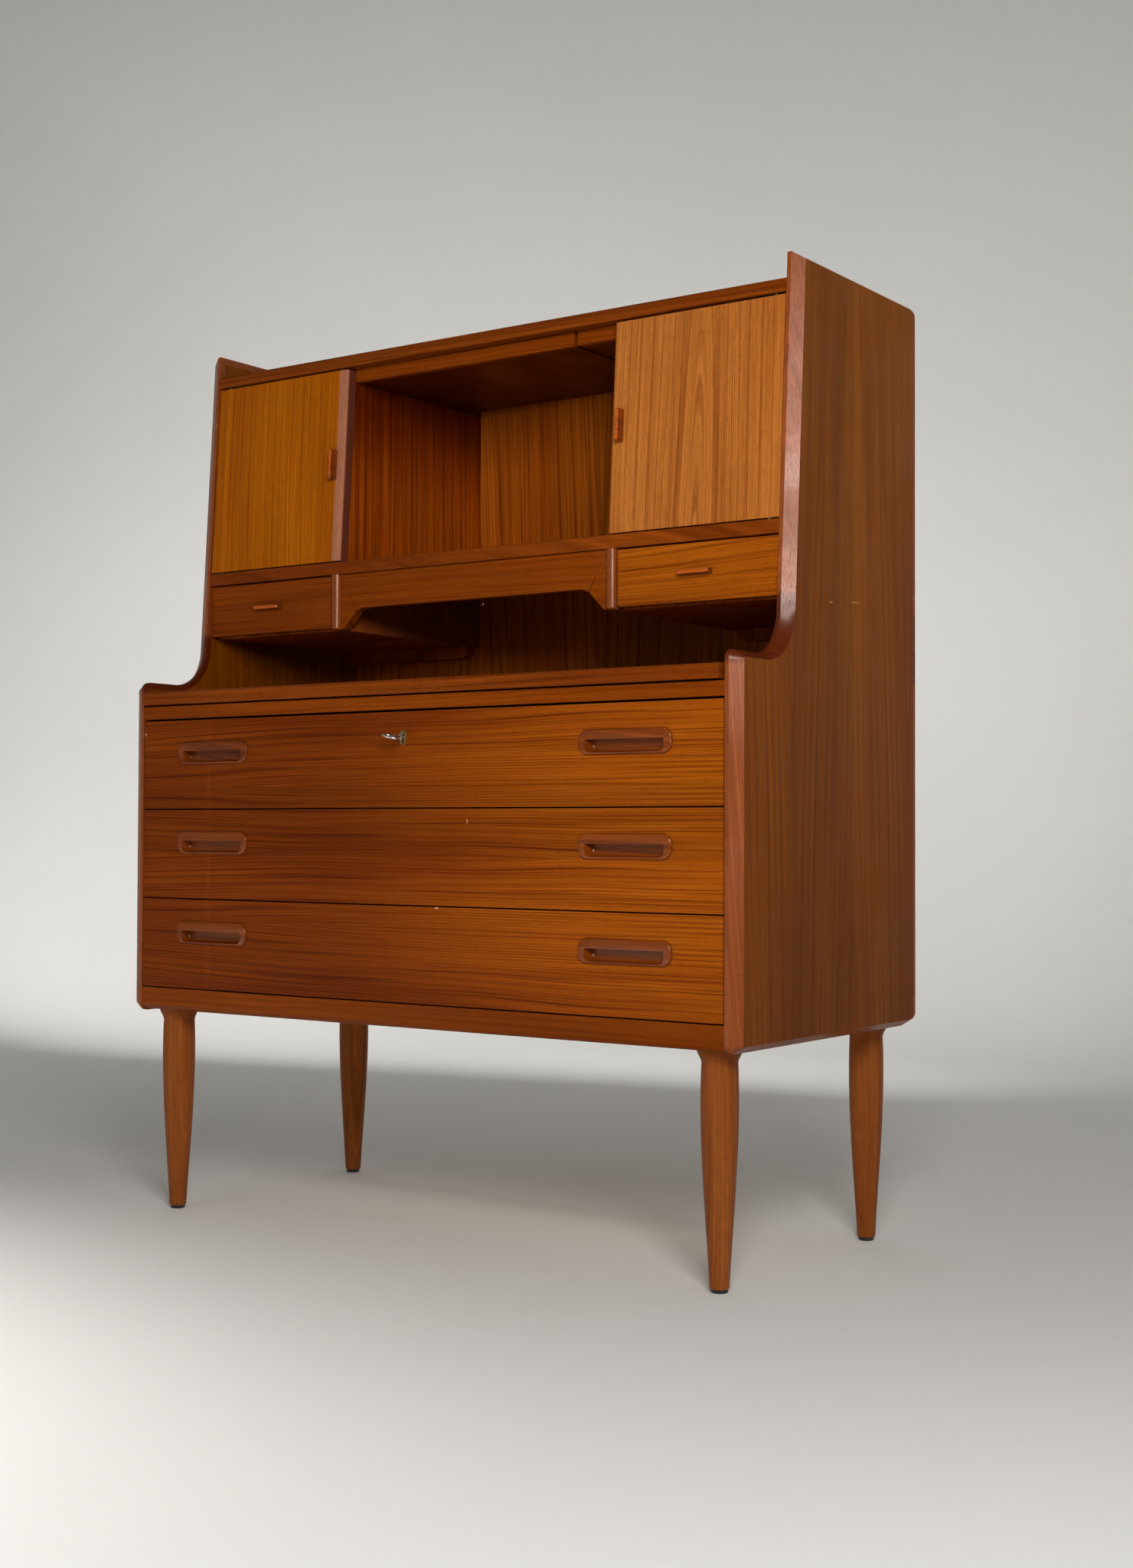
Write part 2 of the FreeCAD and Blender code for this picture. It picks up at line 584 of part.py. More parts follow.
def make_lock():
    """Escutcheon, lock case, bolt and key."""
    plate_face = FRONT_SETBACK - PLATE_PROUD
    plate = escutcheon_blank((plate_face, FRONT_SETBACK + PLATE_LET_IN))
    rim = edges_where(plate, lambda c: abs(c.y - plate_face) < 0.05)
    plate = plate.makeFillet(0.5, rim).cut(key_hole((-5, 5)))
    write("key_escutcheon", plate)

    wall = 1.4
    case = box((-LOCK_CASE_X, LOCK_CASE_X), LOCK_CASE_Y, LOCK_CASE_Z)
    room = box((-LOCK_CASE_X + wall, LOCK_CASE_X - wall), (LOCK_CASE_Y[0] + wall, LOCK_CASE_Y[1] - wall),
               (LOCK_CASE_Z[0] + wall, LOCK_CASE_Z[1] - wall))
    bolt_way = box((-BOLT_X - 0.3, BOLT_X + 0.3), (BOLT_Y[0] - 0.05, BOLT_Y[1] + 0.3),
                   (LOCK_CASE_Z[1] - wall - 1, LOCK_CASE_Z[1] + 1))
    write("lock_case", case.cut(room).cut(bolt_way).cut(key_hole((0, LOCK_CASE_Y[0] + wall + 1))))

    bolt = box((-BOLT_X, BOLT_X), BOLT_Y, (LOCK_Z + 10.5, BOLT_TOP))
    crown = edges_where(bolt, lambda c: abs(c.z - BOLT_TOP) < 0.1)
    write("lock_bolt", bolt.makeChamfer(0.6, crown))

    shaft_y = (-19.0, 18.0)
    collar_r, collar_y = 3.4, (-6.5, -3.6)
    bit_y, bit_half = (14.6, shaft_y[1]), 0.9
    collar = rod(collar_r, V(0, collar_y[0], LOCK_Z), V(0, collar_y[1], LOCK_Z))
    shaft = rod(KEY_R, V(0, shaft_y[0], LOCK_Z), V(0, shaft_y[1], LOCK_Z))
    bit = box((-BIT_REACH, 0), bit_y, (LOCK_Z - bit_half, LOCK_Z + bit_half))
    wire_r = 1.9
    ring_r = 9.0
    bow_x, bow_y = 13.5, 9.0
    bow = Part.makeTorus(ring_r, wire_r)
    squash = FreeCAD.Matrix()
    squash.scale(bow_x / (ring_r + wire_r), bow_y / (ring_r + wire_r), 1.0)
    bow = bow.transformGeometry(squash)
    bow.translate(V(0, bow_y - KEY_REACH, LOCK_Z))
    key = shaft.fuse(collar).fuse(bit).fuse(bow).removeSplitter()
    key.rotate(V(0, 0, LOCK_Z), V(0, 1, 0), KEY_TILT)
    write("key", key)


# Small drawers

def make_small_drawers():
    side_x = (250.2, 485.2)
    thick = 9.0
    y = (SMALL_FRONT_Y + SMALL_THICK, 430.0)
    z = (FLOOR_Z[1] + 0.5, 905.0)
    centre_x = sum(SMALL_X) / 2
    centre_z = sum(SMALL_Z) / 2
    front = box(SMALL_X, (SMALL_FRONT_Y, SMALL_FRONT_Y + SMALL_THICK), SMALL_Z)
    boards = [
        box((side_x[0], side_x[0] + thick), y, z),
        box((side_x[1] - thick, side_x[1]), y, z),
        box((side_x[0] + thick, side_x[1] - thick), (y[1] - thick, y[1]), (z[0] + 4, z[1] - 5)),
        box((side_x[0] + thick, side_x[1] - thick), (y[0], y[1]), (z[0], z[0] + 4)),
    ]
    pull = fin_pull(48.0)
    pull.translate(V(centre_x, SMALL_FRONT_Y, centre_z))
    for side, turn in (("right", lambda s: s), ("left", mirrored)):
        write("small_drawer_%s_front" % side, turn(front))
        write("small_drawer_%s_box" % side, *[turn(board) for board in boards])
        write("small_drawer_%s_pull" % side, turn(pull))


def fin_pull(length):
    """Slim wooden fin, lying along X, its back on Y = 0 and its edge towards -Y."""
    reach = 12.0
    root, tip = 4.0, 2.3
    fin = prism_x([(0, -root), (-reach, -tip), (-reach, tip), (0, root)], (-length / 2, length / 2))
    ends = edges_where(fin, lambda c: abs(abs(c.x) - length / 2) < 0.1 and abs(c.y + reach) < 0.1)
    fin = fin.makeChamfer(1.6, ends)
    return fin


# Doors

def door_prism(x, y, z):
    """Block that leans with the hutch; y is a pair of depths behind the door's front face."""
    outline = [(door_front(z[0]) + y[0], z[0]), (door_front(z[0]) + y[1], z[0]),
               (door_front(z[1]) + y[1], z[1]), (door_front(z[1]) + y[0], z[1])]
    return prism_x(outline, x)


def pivot_point(height):
    """Point on the right door's axis at a height."""
    return V(DOOR_X[1] - PIVOT_IN, door_front(height) + PIVOT_DEEP, height)


def hinge_plate(z, rise):
    """Brass leaf, let into a board or a door end; rise is its thickness."""
    front = door_front(z) + PIVOT_DEEP - 4.6
    return box(HINGE_X, (front, front + HINGE_WIDE), (min(z, z + rise), max(z, z + rise)))


def hinge_recesses(top):
    """Space in the top panel or the shelf for the fixed hinge leaves."""
    z, rise = (TOP_Z[0], HINGE_LEAF) if top else (SHELF_Z[1], -HINGE_LEAF)
    right = hinge_plate(z, rise)
    return right.fuse(mirrored(right))


def make_fixed_hinges():
    fixed = []
    for z, rise, door_end in ((TOP_Z[0], HINGE_LEAF, DOOR_Z[1]), (SHELF_Z[1], -HINGE_LEAF, DOOR_Z[0])):
        depth = 9.0
        inward = -1 if rise > 0 else 1
        pin = rod(PIN_R, pivot_point(z + rise * 0.5), pivot_point(door_end + inward * depth))
        pair = hinge_plate(z, rise).fuse(pin).removeSplitter()
        fixed += [pair, mirrored(pair)]
    write("fixed_hinge_leaves", *fixed)


def make_doors():
    panel = door_prism((DOOR_X[0] + DOOR_LIPPING, DOOR_X[1]), (0, DOOR_THICK), DOOR_Z)
    edge = door_prism((DOOR_X[0], DOOR_X[0] + DOOR_LIPPING), (0, DOOR_THICK), DOOR_Z)
    middle_z = sum(DOOR_Z) / 2
    front_edge = edges_where(edge, lambda c: abs(c.x - DOOR_X[0]) < 0.1 and abs(c.z - middle_z) < 1
                             and c.y < door_front(middle_z) + 1)
    edge = edge.makeFillet(DOOR_NOSE, front_edge)
    leaves = []
    for z, inward in ((DOOR_Z[0], 1), (DOOR_Z[1], -1)):
        leaf = hinge_plate(z, inward * HINGE_LEAF)
        bore = rod(PIN_R + PIN_PLAY, pivot_point(z - inward * 3), pivot_point(z + inward * 14))
        wood_bore = rod(PIN_R + 0.6, pivot_point(z - inward * 3), pivot_point(z + inward * 12))
        panel = panel.cut(leaf).cut(wood_bore)
        leaves.append(leaf.cut(bore))
    pull = fin_pull(43.0)
    pull.rotate(V(0, 0, 0), V(0, 1, 0), 90)
    pull.rotate(V(0, 0, 0), V(1, 0, 0), -math.degrees(LEAN))
    pull_z = 1075.0
    pull.translate(V(DOOR_X[0] + DOOR_LIPPING + 2.0, door_front(pull_z), pull_z))
    pull = pull.cut(door_prism((DOOR_X[0], DOOR_X[1]), (0, DOOR_THICK), DOOR_Z))
    for side, turn in (("right", lambda s: s), ("left", mirrored)):
        write("door_%s_panel" % side, turn(panel), turn(edge))
        write("door_%s_pull" % side, turn(pull))
        write("door_%s_hinge_leaves" % side, *[turn(leaf) for leaf in leaves])


def make_catches():
    """Small blocks with a ball, on the dividers, that hold the doors shut."""
    z = (1178.0, 1192.0)
    y0 = door_front(z[1]) + DOOR_THICK + 1.6
    block = box((DIVIDER_X[1], DIVIDER_X[1] + 12.0), (y0, y0 + 26.0), z)
    write("door_catches", block, mirrored(block))


# Shallow trays in the head of the open compartment

def make_trays():
    wall = 8.0
    front_thick = 10.0
    groove = 4.0
    play = 0.55
    outer = DIVIDER_X[0]
    y = (TRAY_FRONT_Y + front_thick, TRAY_BACK_Y)
    groove_z = (TRAY_RUNNER_Z[0] - play, TRAY_RUNNER_Z[1] + play)
    for name, x in (("long", (-outer + 0.8, TRAY_SPLIT[0])), ("short", (TRAY_SPLIT[1], outer - 0.8))):
        left = box((x[0], x[0] + wall), y, TRAY_Z)
        left = left.cut(box((x[0] - 1, x[0] + groove), (y[0] + 4, y[1] + 1), groove_z))
        right = box((x[1] - wall, x[1]), y, TRAY_Z)
        right = right.cut(box((x[1] - groove, x[1] + 1), (y[0] + 4, y[1] + 1), groove_z))
        back = box((x[0] + wall, x[1] - wall), (y[1] - wall, y[1]), TRAY_Z)
        floor = box((x[0] + wall, x[1] - wall), (y[0], y[1] - wall), (TRAY_Z[0] + 0.3, TRAY_Z[0] + 4))
        front = box(x, (TRAY_FRONT_Y, y[0]), TRAY_Z)
        write("tray_" + name, front, left, right, back, floor)

    reach = groove - play
    run = (y[0] + 10, BACK_FRONT)
    side_strip = box((outer - 0.8 - reach, outer), run, TRAY_RUNNER_Z)
    web = box((TRAY_SPLIT[0] + 1.5, TRAY_SPLIT[1] - 1.5), run, (TRAY_RUNNER_Z[0], TOP_Z[0]))
    wings = box((TRAY_SPLIT[0] - reach, TRAY_SPLIT[1] + reach), run, TRAY_RUNNER_Z)
    write("tray_runners", side_strip, mirrored(side_strip), web.fuse(wings).removeSplitter())


def main():
    os.makedirs("parts", exist_ok=True)
    make_sides()
    make_top_and_shelf()
    make_dividers()
    make_apron()
    make_small_drawer_floors()
    make_back_panels()
    make_leaf_supports()
    make_bottom()
    make_runners()
    make_legs()
    make_leaf()
    make_long_drawers()
    make_lock()
    make_small_drawers()
    make_fixed_hinges()
    make_doors()
    make_catches()
    make_trays()
    print(len(NODES), "nodes written")


main()
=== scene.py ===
"""Teak secretary desk: oiled finishes, carved pieces and a plain studio round the fixed frame.

Lengths are metres. X runs to the desk's right, Y to its back and Z up; the origin is on the floor
under the middle of the desk.
"""
from __future__ import annotations

import logging
import math
from collections.abc import Callable
from dataclasses import dataclass, field, replace
from enum import Enum

import bmesh
import bpy
from mathutils import Matrix, Vector


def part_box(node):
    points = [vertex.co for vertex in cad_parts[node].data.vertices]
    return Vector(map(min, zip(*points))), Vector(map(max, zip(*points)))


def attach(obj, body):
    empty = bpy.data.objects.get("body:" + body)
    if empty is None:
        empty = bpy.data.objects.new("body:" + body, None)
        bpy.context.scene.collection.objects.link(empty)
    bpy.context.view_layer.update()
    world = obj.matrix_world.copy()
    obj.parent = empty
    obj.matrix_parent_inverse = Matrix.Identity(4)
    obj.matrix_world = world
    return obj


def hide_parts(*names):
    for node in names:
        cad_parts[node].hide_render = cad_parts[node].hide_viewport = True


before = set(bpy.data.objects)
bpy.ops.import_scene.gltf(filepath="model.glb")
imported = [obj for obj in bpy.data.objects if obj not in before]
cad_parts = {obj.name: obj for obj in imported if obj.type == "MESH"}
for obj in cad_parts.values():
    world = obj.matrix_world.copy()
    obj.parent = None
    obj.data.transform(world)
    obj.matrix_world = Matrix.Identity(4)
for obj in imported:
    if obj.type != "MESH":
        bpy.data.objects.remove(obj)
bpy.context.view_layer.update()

LOG = logging.getLogger("secretary_desk")

Colour = tuple[float, float, float]
Place = tuple[float, float, float]
Socket = bpy.types.NodeSocket


# Shader building blocks


class Grain(Enum):
    """The way the fibres of a board run."""

    WIDTH = "X"
    DEPTH = "Y"
    UPRIGHT = "Z"


class Face(Enum):
    """The axis through a board's thickness."""

    SIDE = "X"
    FRONT = "Y"
    TOP = "Z"


@dataclass
class ShaderBench:
    """Adds, sets and links the nodes of one material.

    Args:
        name: the material's name.
    """

    name: str
    material: bpy.types.Material = field(init=False)
    shader: bpy.types.Node = field(init=False)

    def __post_init__(self) -> None:
        """Start the material with its main shader and its output."""
        self.material = bpy.data.materials.new(self.name)
        self.material.use_nodes = True
        self.shader = self.material.node_tree.nodes["Principled BSDF"]

    def add(self, kind: str, inputs: dict[str, object] | None = None, **settings: object) -> bpy.types.Node:
        """Add a node.

        Args:
            kind: the node's type name.
            inputs: values or sockets for its inputs, by name or index.
            settings: the node's own properties.

        Returns:
            The new node.
        """
        node = self.material.node_tree.nodes.new(kind)
        for key, value in settings.items():
            setattr(node, key, value)
        for key, value in (inputs or {}).items():
            self.feed(node.inputs[key], value)
        return node

    def feed(self, socket: Socket, value: object) -> None:
        """Link a socket to an input, or set the input's value.

        Args:
            socket: the input.
            value: a socket, a number, a vector or a colour.
        """
        if isinstance(value, bpy.types.NodeSocket):
            self.material.node_tree.links.new(value, socket)
        elif socket.type == "RGBA" and isinstance(value, tuple) and len(value) == 3:
            socket.default_value = (*value, 1.0)
        else:
            socket.default_value = value

    def math(self, operation: str, *values: object, clamp: bool = False) -> Socket:
        """Work out one number.

        Args:
            operation: the Math node's operation.
            values: its inputs in order.
            clamp: keep the result between 0 and 1.

        Returns:
            The result's socket.
        """
        inputs = dict(enumerate(values))
        return self.add("ShaderNodeMath", inputs, operation=operation, use_clamp=clamp).outputs[0]

    def join(self, x: object, y: object, z: object) -> Socket:
        """Make a vector of three numbers or sockets."""
        return self.add("ShaderNodeCombineXYZ", {0: x, 1: y, 2: z}).outputs[0]

    def noise(self, vector: Socket, scale: float, detail: float = 2.0, roughness: float = 0.5) -> Socket:
        """Value noise on a vector.

        Args:
            vector: where to look it up.
            scale: how fine it is.
            detail: its octaves.
            roughness: how strong the fine octaves are.

        Returns:
            The noise, about 0 to 1.
        """
        inputs = {"Vector": vector, "Scale": scale, "Detail": detail, "Roughness": roughness}
        return self.add("ShaderNodeTexNoise", inputs).outputs["Fac"]

    def stretched(self, ways: tuple[Socket, Socket, Socket], along: float, sideways: float) -> Socket:
        """A vector whose noise is drawn out along the grain.

        Args:
            ways: places along, across and through the board.
            along: patches in a metre along the grain.
            sideways: patches in a metre the other two ways.

        Returns:
            The vector's socket.
        """
        scales = (along, sideways, sideways)
        return self.join(*[self.math("MULTIPLY", at, scale) for at, scale in zip(ways, scales)])

    def remap(self, value: Socket, low: float, high: float,
              to_low: float = 0.0, to_high: float = 1.0) -> Socket:
        """Stretch a range of numbers to another, smoothly and with ends held.

        Args:
            value: the number.
            low: start of its range.
            high: end of its range.
            to_low: what the start becomes.
            to_high: what the end becomes.

        Returns:
            The result's socket.
        """
        inputs = {"Value": value, "From Min": low, "From Max": high, "To Min": to_low, "To Max": to_high}
        node = self.add("ShaderNodeMapRange", inputs, interpolation_type="SMOOTHSTEP")
        return node.outputs["Result"]

    def blend(self, share: object, first: object, second: object, mode: str = "MIX") -> Socket:
        """Mix two colours.

        Args:
            share: how much of the second, 0 to 1.
            first: a colour or its socket.
            second: a colour or its socket.
            mode: the way they are mixed.

        Returns:
            The mixed colour's socket.
        """
        node = self.add("ShaderNodeMix", data_type="RGBA", blend_type=mode)
        self.feed(node.inputs[0], share)
        self.feed(node.inputs[6], first)
        self.feed(node.inputs[7], second)
        return node.outputs[2]

    def place(self) -> tuple[Socket, Socket, Socket]:
        """Object coordinates as three sockets, X, Y and Z."""
        where = self.add("ShaderNodeTexCoord").outputs["Object"]
        parts = self.add("ShaderNodeSeparateXYZ", {0: where})
        return parts.outputs[0], parts.outputs[1], parts.outputs[2]

    def surface(self, colour: object, roughness: object, height: Socket | None, lift: float) -> None:
        """Give the main shader its colour, roughness and relief.

        Args:
            colour: base colour.
            roughness: a number or socket.
            height: relief from 0 to 1, or none.
            lift: the relief's depth in metres.
        """
        self.feed(self.shader.inputs["Base Color"], colour)
        self.feed(self.shader.inputs["Roughness"], roughness)
        if height is not None:
            bump = self.add("ShaderNodeBump", {"Height": height, "Distance": lift, "Strength": 1.0})
            self.feed(self.shader.inputs["Normal"], bump.outputs["Normal"])


# Finishes


@dataclass(frozen=True)
class Tones:
    """The three tones of a wood, as linear colours."""

    pale: Colour
    middle: Colour
    dark: Colour


GOLDEN = Tones((0.45, 0.124, 0.001), (0.34, 0.080, 0.0006), (0.16, 0.027, 0.0003))
ORANGE = Tones((0.39, 0.097, 0.004), (0.262, 0.054, 0.002), (0.115, 0.015, 0.0007))
UMBER = Tones((0.25, 0.050, 0.002), (0.178, 0.032, 0.001), (0.087, 0.011, 0.0005))
BACK = Tones((0.52, 0.130, 0.008), (0.38, 0.082, 0.005), (0.18, 0.028, 0.002))
# The right door's amber tones, with a painted whitish sheen in their blue and green.
AMBER_AND_SHEEN = Tones((0.50, 0.166, 0.030), (0.375, 0.113, 0.017), (0.18, 0.036, 0.004))
OLIVE = Tones((0.26, 0.074, 0.0003), (0.195, 0.045, 0.0002), (0.10, 0.018, 0.0001))
RUSSET = Tones((0.23, 0.047, 0.003), (0.16, 0.027, 0.002), (0.07, 0.009, 0.001))
SHADED = Tones((0.43, 0.088, 0.004), (0.31, 0.050, 0.002), (0.12, 0.015, 0.0006))
CARVED = Tones((0.25, 0.052, 0.004), (0.175, 0.032, 0.002), (0.085, 0.012, 0.001))
LEG = Tones((0.30, 0.088, 0.020), (0.235, 0.060, 0.011), (0.115, 0.023, 0.004))
ROSE = Tones((0.29, 0.070, 0.014), (0.215, 0.047, 0.008), (0.12, 0.024, 0.004))

BARE_WOOD = (0.62, 0.36, 0.20)       # where the finish is chipped off
LIPPING_WOOD_AND_HIGHLIGHT = (0.38, 0.16, 0.10)    # a door's solid strip, coloured with a painted pinkish highlight
LIPPING_SHARE = 0.78                 # how far the strip's colour, with its painted highlight, hides the veneer's figure
RING_LINES = (0.44, 0.68)            # ring noise over which a ring darkens
LATE_LINES = (0.44, 0.66)            # the same for the fine lines of late wood
LATE_PER_RING = 3.1                  # fine lines for each ring
LATE_SHARE = 0.6                     # their strength beside the rings
PALE_LINES = (0.30, 0.44)            # late wood noise over which a pale line ends
PALE_LIFT = 1.22                     # brightness of the pale lines
FIBRE_SHADES = (0.84, 1.13)          # darkest and brightest fibre
LEAF_SHADES = (0.88, 1.10)           # darkest and brightest veneer leaf
PORE_DEPTH = 0.38                    # how much a pore darkens
STRIP_LIFT = 1.16                    # brightness of a faded strip
SHADE_REDDENS = 1.45                  # how much more painted shade takes from green and blue
WOOD_RELIEF = 0.00009                # depth of pores and fibres


@dataclass(frozen=True)
class Mark:
    """A chip or rubbed spot where the pale wood shows.

    Args:
        place: its middle.
        reach: its half sizes along X, Y and Z.
    """

    place: Place
    reach: Place


@dataclass(frozen=True)
class PaintedShade:
    """Painted shade: a smooth change of a piece's brightness, from 1 at its start to a share beyond its end.

    Args:
        axis: the axis it is measured along, X, Y or Z.
        start: where it starts.
        end: where it has reached the share.
        share: the brightness from there on.
    """

    axis: str
    start: float
    end: float
    share: float


@dataclass(frozen=True)
class Teak:
    """Oiled teak, cut from a log whose heart lies off the board, so that rings make its figure.

    Args:
        name: the material's name.
        tones: its colours.
        grain: the way the fibres run.
        face: the axis through the board's thickness.
        heart: where the heart is, across the board and behind its face.
        rings: rings in a metre.
        contrast: how strongly the rings show, 0 to 1.
        taper: how far the heart goes deeper behind the face per metre of length.
        sway: how far the lines wander across the board.
        leaf: width of the matched veneer leaves, or 0 for none.
        leaf_start: where the first leaf begins, across the board.
        gloss: the finish's roughness.
        tint: how much the finish's shine takes the wood's colour.
        shine: how strongly the finish mirrors.
        painted_shades: painted shade over the piece, as changes of brightness.
        lipping: X from where on the piece is a solid strip, coloured with a painted pinkish highlight, or
            none.
        front_highlight: brightness of a painted highlight on the faces that look forward, beside the rest.
        strip: middle and half width, along the grain, of a faded strip across it, or none.
        marks: chips and rubbed spots.
    """

    name: str
    tones: Tones
    grain: Grain
    face: Face
    heart: tuple[float, float]
    rings: float
    contrast: float
    taper: float = 0.05
    sway: float = 0.02
    leaf: float = 0.0
    leaf_start: float = 0.0
    gloss: float = 0.36
    tint: Colour = (1.0, 0.45, 0.16)
    shine: float = 0.14
    painted_shades: tuple[PaintedShade, ...] = ()
    lipping: float | None = None
    front_highlight: float = 1.0
    strip: tuple[float, float] | None = None
    marks: tuple[Mark, ...] = ()

    def directions(self, bench: ShaderBench) -> tuple[Socket, Socket, Socket]:
        """Sockets along the grain, across the board and through its thickness."""
        places = dict(zip("XYZ", bench.place()))
        along, through = places.pop(self.grain.value), places.pop(self.face.value)
        return along, places.popitem()[1], through

    def match_leaves(self, bench: ShaderBench, across: Socket) -> tuple[Socket, Socket]:
        """Turn every other veneer leaf over, as on a matched board.

        Args:
            bench: the material's bench.
            across: the place across the board.

        Returns:
            The place across the log, and each leaf's brightness.
        """
        from_start = bench.math("SUBTRACT", across, self.leaf_start)
        number = bench.math("FLOOR", bench.math("DIVIDE", from_start, self.leaf))
        tone = bench.add("ShaderNodeTexWhiteNoise", {"W": number}, noise_dimensions="1D").outputs[0]
        return bench.math("PINGPONG", from_start, self.leaf), bench.remap(tone, 0.0, 1.0, *LEAF_SHADES)

    def figure(self, bench: ShaderBench, ways: tuple[Socket, Socket, Socket]) -> tuple[Socket, Socket]:
        """The rings where the board cuts them.

        Args:
            bench: the material's bench.
            ways: places along, across and through the board.

        Returns:
            How far the rings darken each place, and the noise of the late wood.
        """
        along, across, through = ways
        drift = bench.noise(bench.stretched(ways, 0.45, 1.0), 5.0, 1.0)
        sway = bench.math("MULTIPLY", bench.math("SUBTRACT", drift, 0.5), self.sway)
        off_heart = bench.math("ADD", bench.math("SUBTRACT", across, self.heart[0]), sway)
        depth = bench.math("ADD", through, self.heart[1])
        depth = bench.math("ADD", depth, bench.math("MULTIPLY", along, self.taper))
        squares = [bench.math("POWER", side, 2.0) for side in (off_heart, depth)]
        radius = bench.math("SQRT", bench.math("ADD", *squares))

        ring_at = bench.join(bench.math("MULTIPLY", radius, self.rings),
                             bench.math("MULTIPLY", along, 1.5), 0.0)
        ring_lines = bench.remap(bench.noise(ring_at, 1.0, 2.0, 0.6), *RING_LINES)
        late_at = bench.join(bench.math("MULTIPLY", radius, self.rings * LATE_PER_RING),
                             bench.math("MULTIPLY", along, 2.4), 3.0)
        late_wood = bench.noise(late_at, 1.0, 2.0)
        late_lines = bench.math("MULTIPLY", bench.remap(late_wood, *LATE_LINES), LATE_SHARE)
        lines = bench.math("ADD", ring_lines, late_lines)
        return bench.math("MULTIPLY", lines, self.contrast, clamp=True), late_wood

    def wear_and_highlight(self, bench: ShaderBench, along: Socket, shade: Socket) -> Socket:
        """Brighten the faded strip, and paint a highlight on the faces that look forward.

        Args:
            bench: the material's bench.
            along: the place along the grain.
            shade: the brightness so far.

        Returns:
            The brightness with its faded strip and painted highlight.
        """
        if self.strip:
            off = bench.math("ABSOLUTE", bench.math("SUBTRACT", along, self.strip[0]))
            shade = bench.math("MULTIPLY", shade, bench.remap(off, 0.0, self.strip[1], STRIP_LIFT, 1.0))
        # Painted highlight: faces that look forward are brightened.
        if self.front_highlight != 1.0:
            normal = bench.add("ShaderNodeTexCoord").outputs["Normal"]
            forward = bench.add("ShaderNodeSeparateXYZ", {0: normal}).outputs[1]
            shade = bench.math("MULTIPLY", shade, bench.remap(forward, -0.6, -0.9, 1.0, self.front_highlight))
        return shade

    def age(self, bench: ShaderBench, colour: Socket) -> Socket:
        """Lay the painted shade and the marks over the colour.

        Args:
            bench: the material's bench.
            colour: the wood's colour.

        Returns:
            The colour with its painted shade and marks.
        """
        # Painted shade: each band darkens the colour, taking more from green and blue than from red.
        for shade_band in self.painted_shades:
            at = bench.place()["XYZ".index(shade_band.axis)]
            dim = bench.remap(at, shade_band.start, shade_band.end, 1.0, shade_band.share)
            redder = bench.math("POWER", dim, SHADE_REDDENS)
            dimming = bench.add("ShaderNodeCombineColor", {0: dim, 1: redder, 2: redder}).outputs[0]
            colour = bench.blend(1.0, colour, dimming, "MULTIPLY")
        for mark in self.marks:
            colour = bench.blend(self.mark_share(bench, mark), colour, BARE_WOOD)
        return colour

    def build(self) -> bpy.types.Material:
        """Make the material.

        Returns:
            The finished material.
        """
        bench = ShaderBench(self.name)
        along, across, through = self.directions(bench)
        leaf_shade = None
        if self.leaf:
            across, leaf_shade = self.match_leaves(bench, across)
        ways = (along, across, through)
        stripe, late_wood = self.figure(bench, ways)
        fibre = bench.noise(bench.stretched(ways, 9.0, 800.0), 1.0, 2.0, 0.6)
        pores = bench.remap(bench.noise(bench.stretched(ways, 85.0, 1500.0), 1.0, 1.0), 0.60, 0.74)
        cloud = bench.noise(bench.stretched(ways, 1.3, 11.0), 1.0, 3.0, 0.6)

        colour = bench.blend(bench.remap(cloud, 0.28, 0.72), self.tones.middle, self.tones.pale)
        colour = bench.blend(stripe, colour, self.tones.dark)
        # Painted highlight: the left door's solid strip takes a pale pinkish colour.
        if self.lipping is not None:
            beyond = bench.math("GREATER_THAN", bench.place()[0], self.lipping)
            colour = bench.blend(bench.math("MULTIPLY", beyond, LIPPING_SHARE), colour, LIPPING_WOOD_AND_HIGHLIGHT)
        shade = bench.remap(fibre, 0.25, 0.75, *FIBRE_SHADES)
        shade = bench.math("MULTIPLY", shade, bench.remap(late_wood, *PALE_LINES, PALE_LIFT, 1.0))
        if leaf_shade is not None:
            shade = bench.math("MULTIPLY", shade, leaf_shade)
        open_wood = bench.math("SUBTRACT", 1.0, bench.math("MULTIPLY", pores, PORE_DEPTH))
        shade = self.wear_and_highlight(bench, along, bench.math("MULTIPLY", shade, open_wood))
        grey = bench.add("ShaderNodeCombineColor", {0: shade, 1: shade, 2: shade}).outputs[0]
        colour = self.age(bench, bench.blend(1.0, colour, grey, "MULTIPLY"))

        rubbed = bench.noise(bench.stretched(ways, 2.0, 1.0), 7.0, 3.0)
        roughness = bench.remap(rubbed, 0.25, 0.75, self.gloss - 0.06, self.gloss + 0.10)
        relief = bench.math("SUBTRACT", bench.math("MULTIPLY", fibre, 0.4), bench.math("MULTIPLY", pores, 0.6))
        bench.surface(colour, roughness, relief, WOOD_RELIEF)
        bench.shader.inputs["Specular Tint"].default_value = (*self.tint, 1.0)
        bench.shader.inputs["Specular IOR Level"].default_value = self.shine
        return bench.material

    def mark_share(self, bench: ShaderBench, mark: Mark) -> Socket:
        """How far a mark hides the finish at each place.

        Args:
            bench: the material's bench.
            mark: the mark.

        Returns:
            0.85 in its middle, 0 outside, with a ragged edge.
        """
        terms = []
        for at, middle, reach in zip(bench.place(), mark.place, mark.reach):
            off = bench.math("DIVIDE", bench.math("SUBTRACT", at, middle), reach)
            terms.append(bench.math("POWER", bench.math("ABSOLUTE", off), 2.0))
        far = bench.math("ADD", bench.math("ADD", terms[0], terms[1]), terms[2])
        ragged = bench.noise(bench.join(*bench.place()), 900.0, 2.0)
        far = bench.math("ADD", far, bench.math("MULTIPLY", ragged, 0.8))
        return bench.remap(far, 0.7, 1.3, 0.85, 0.0)


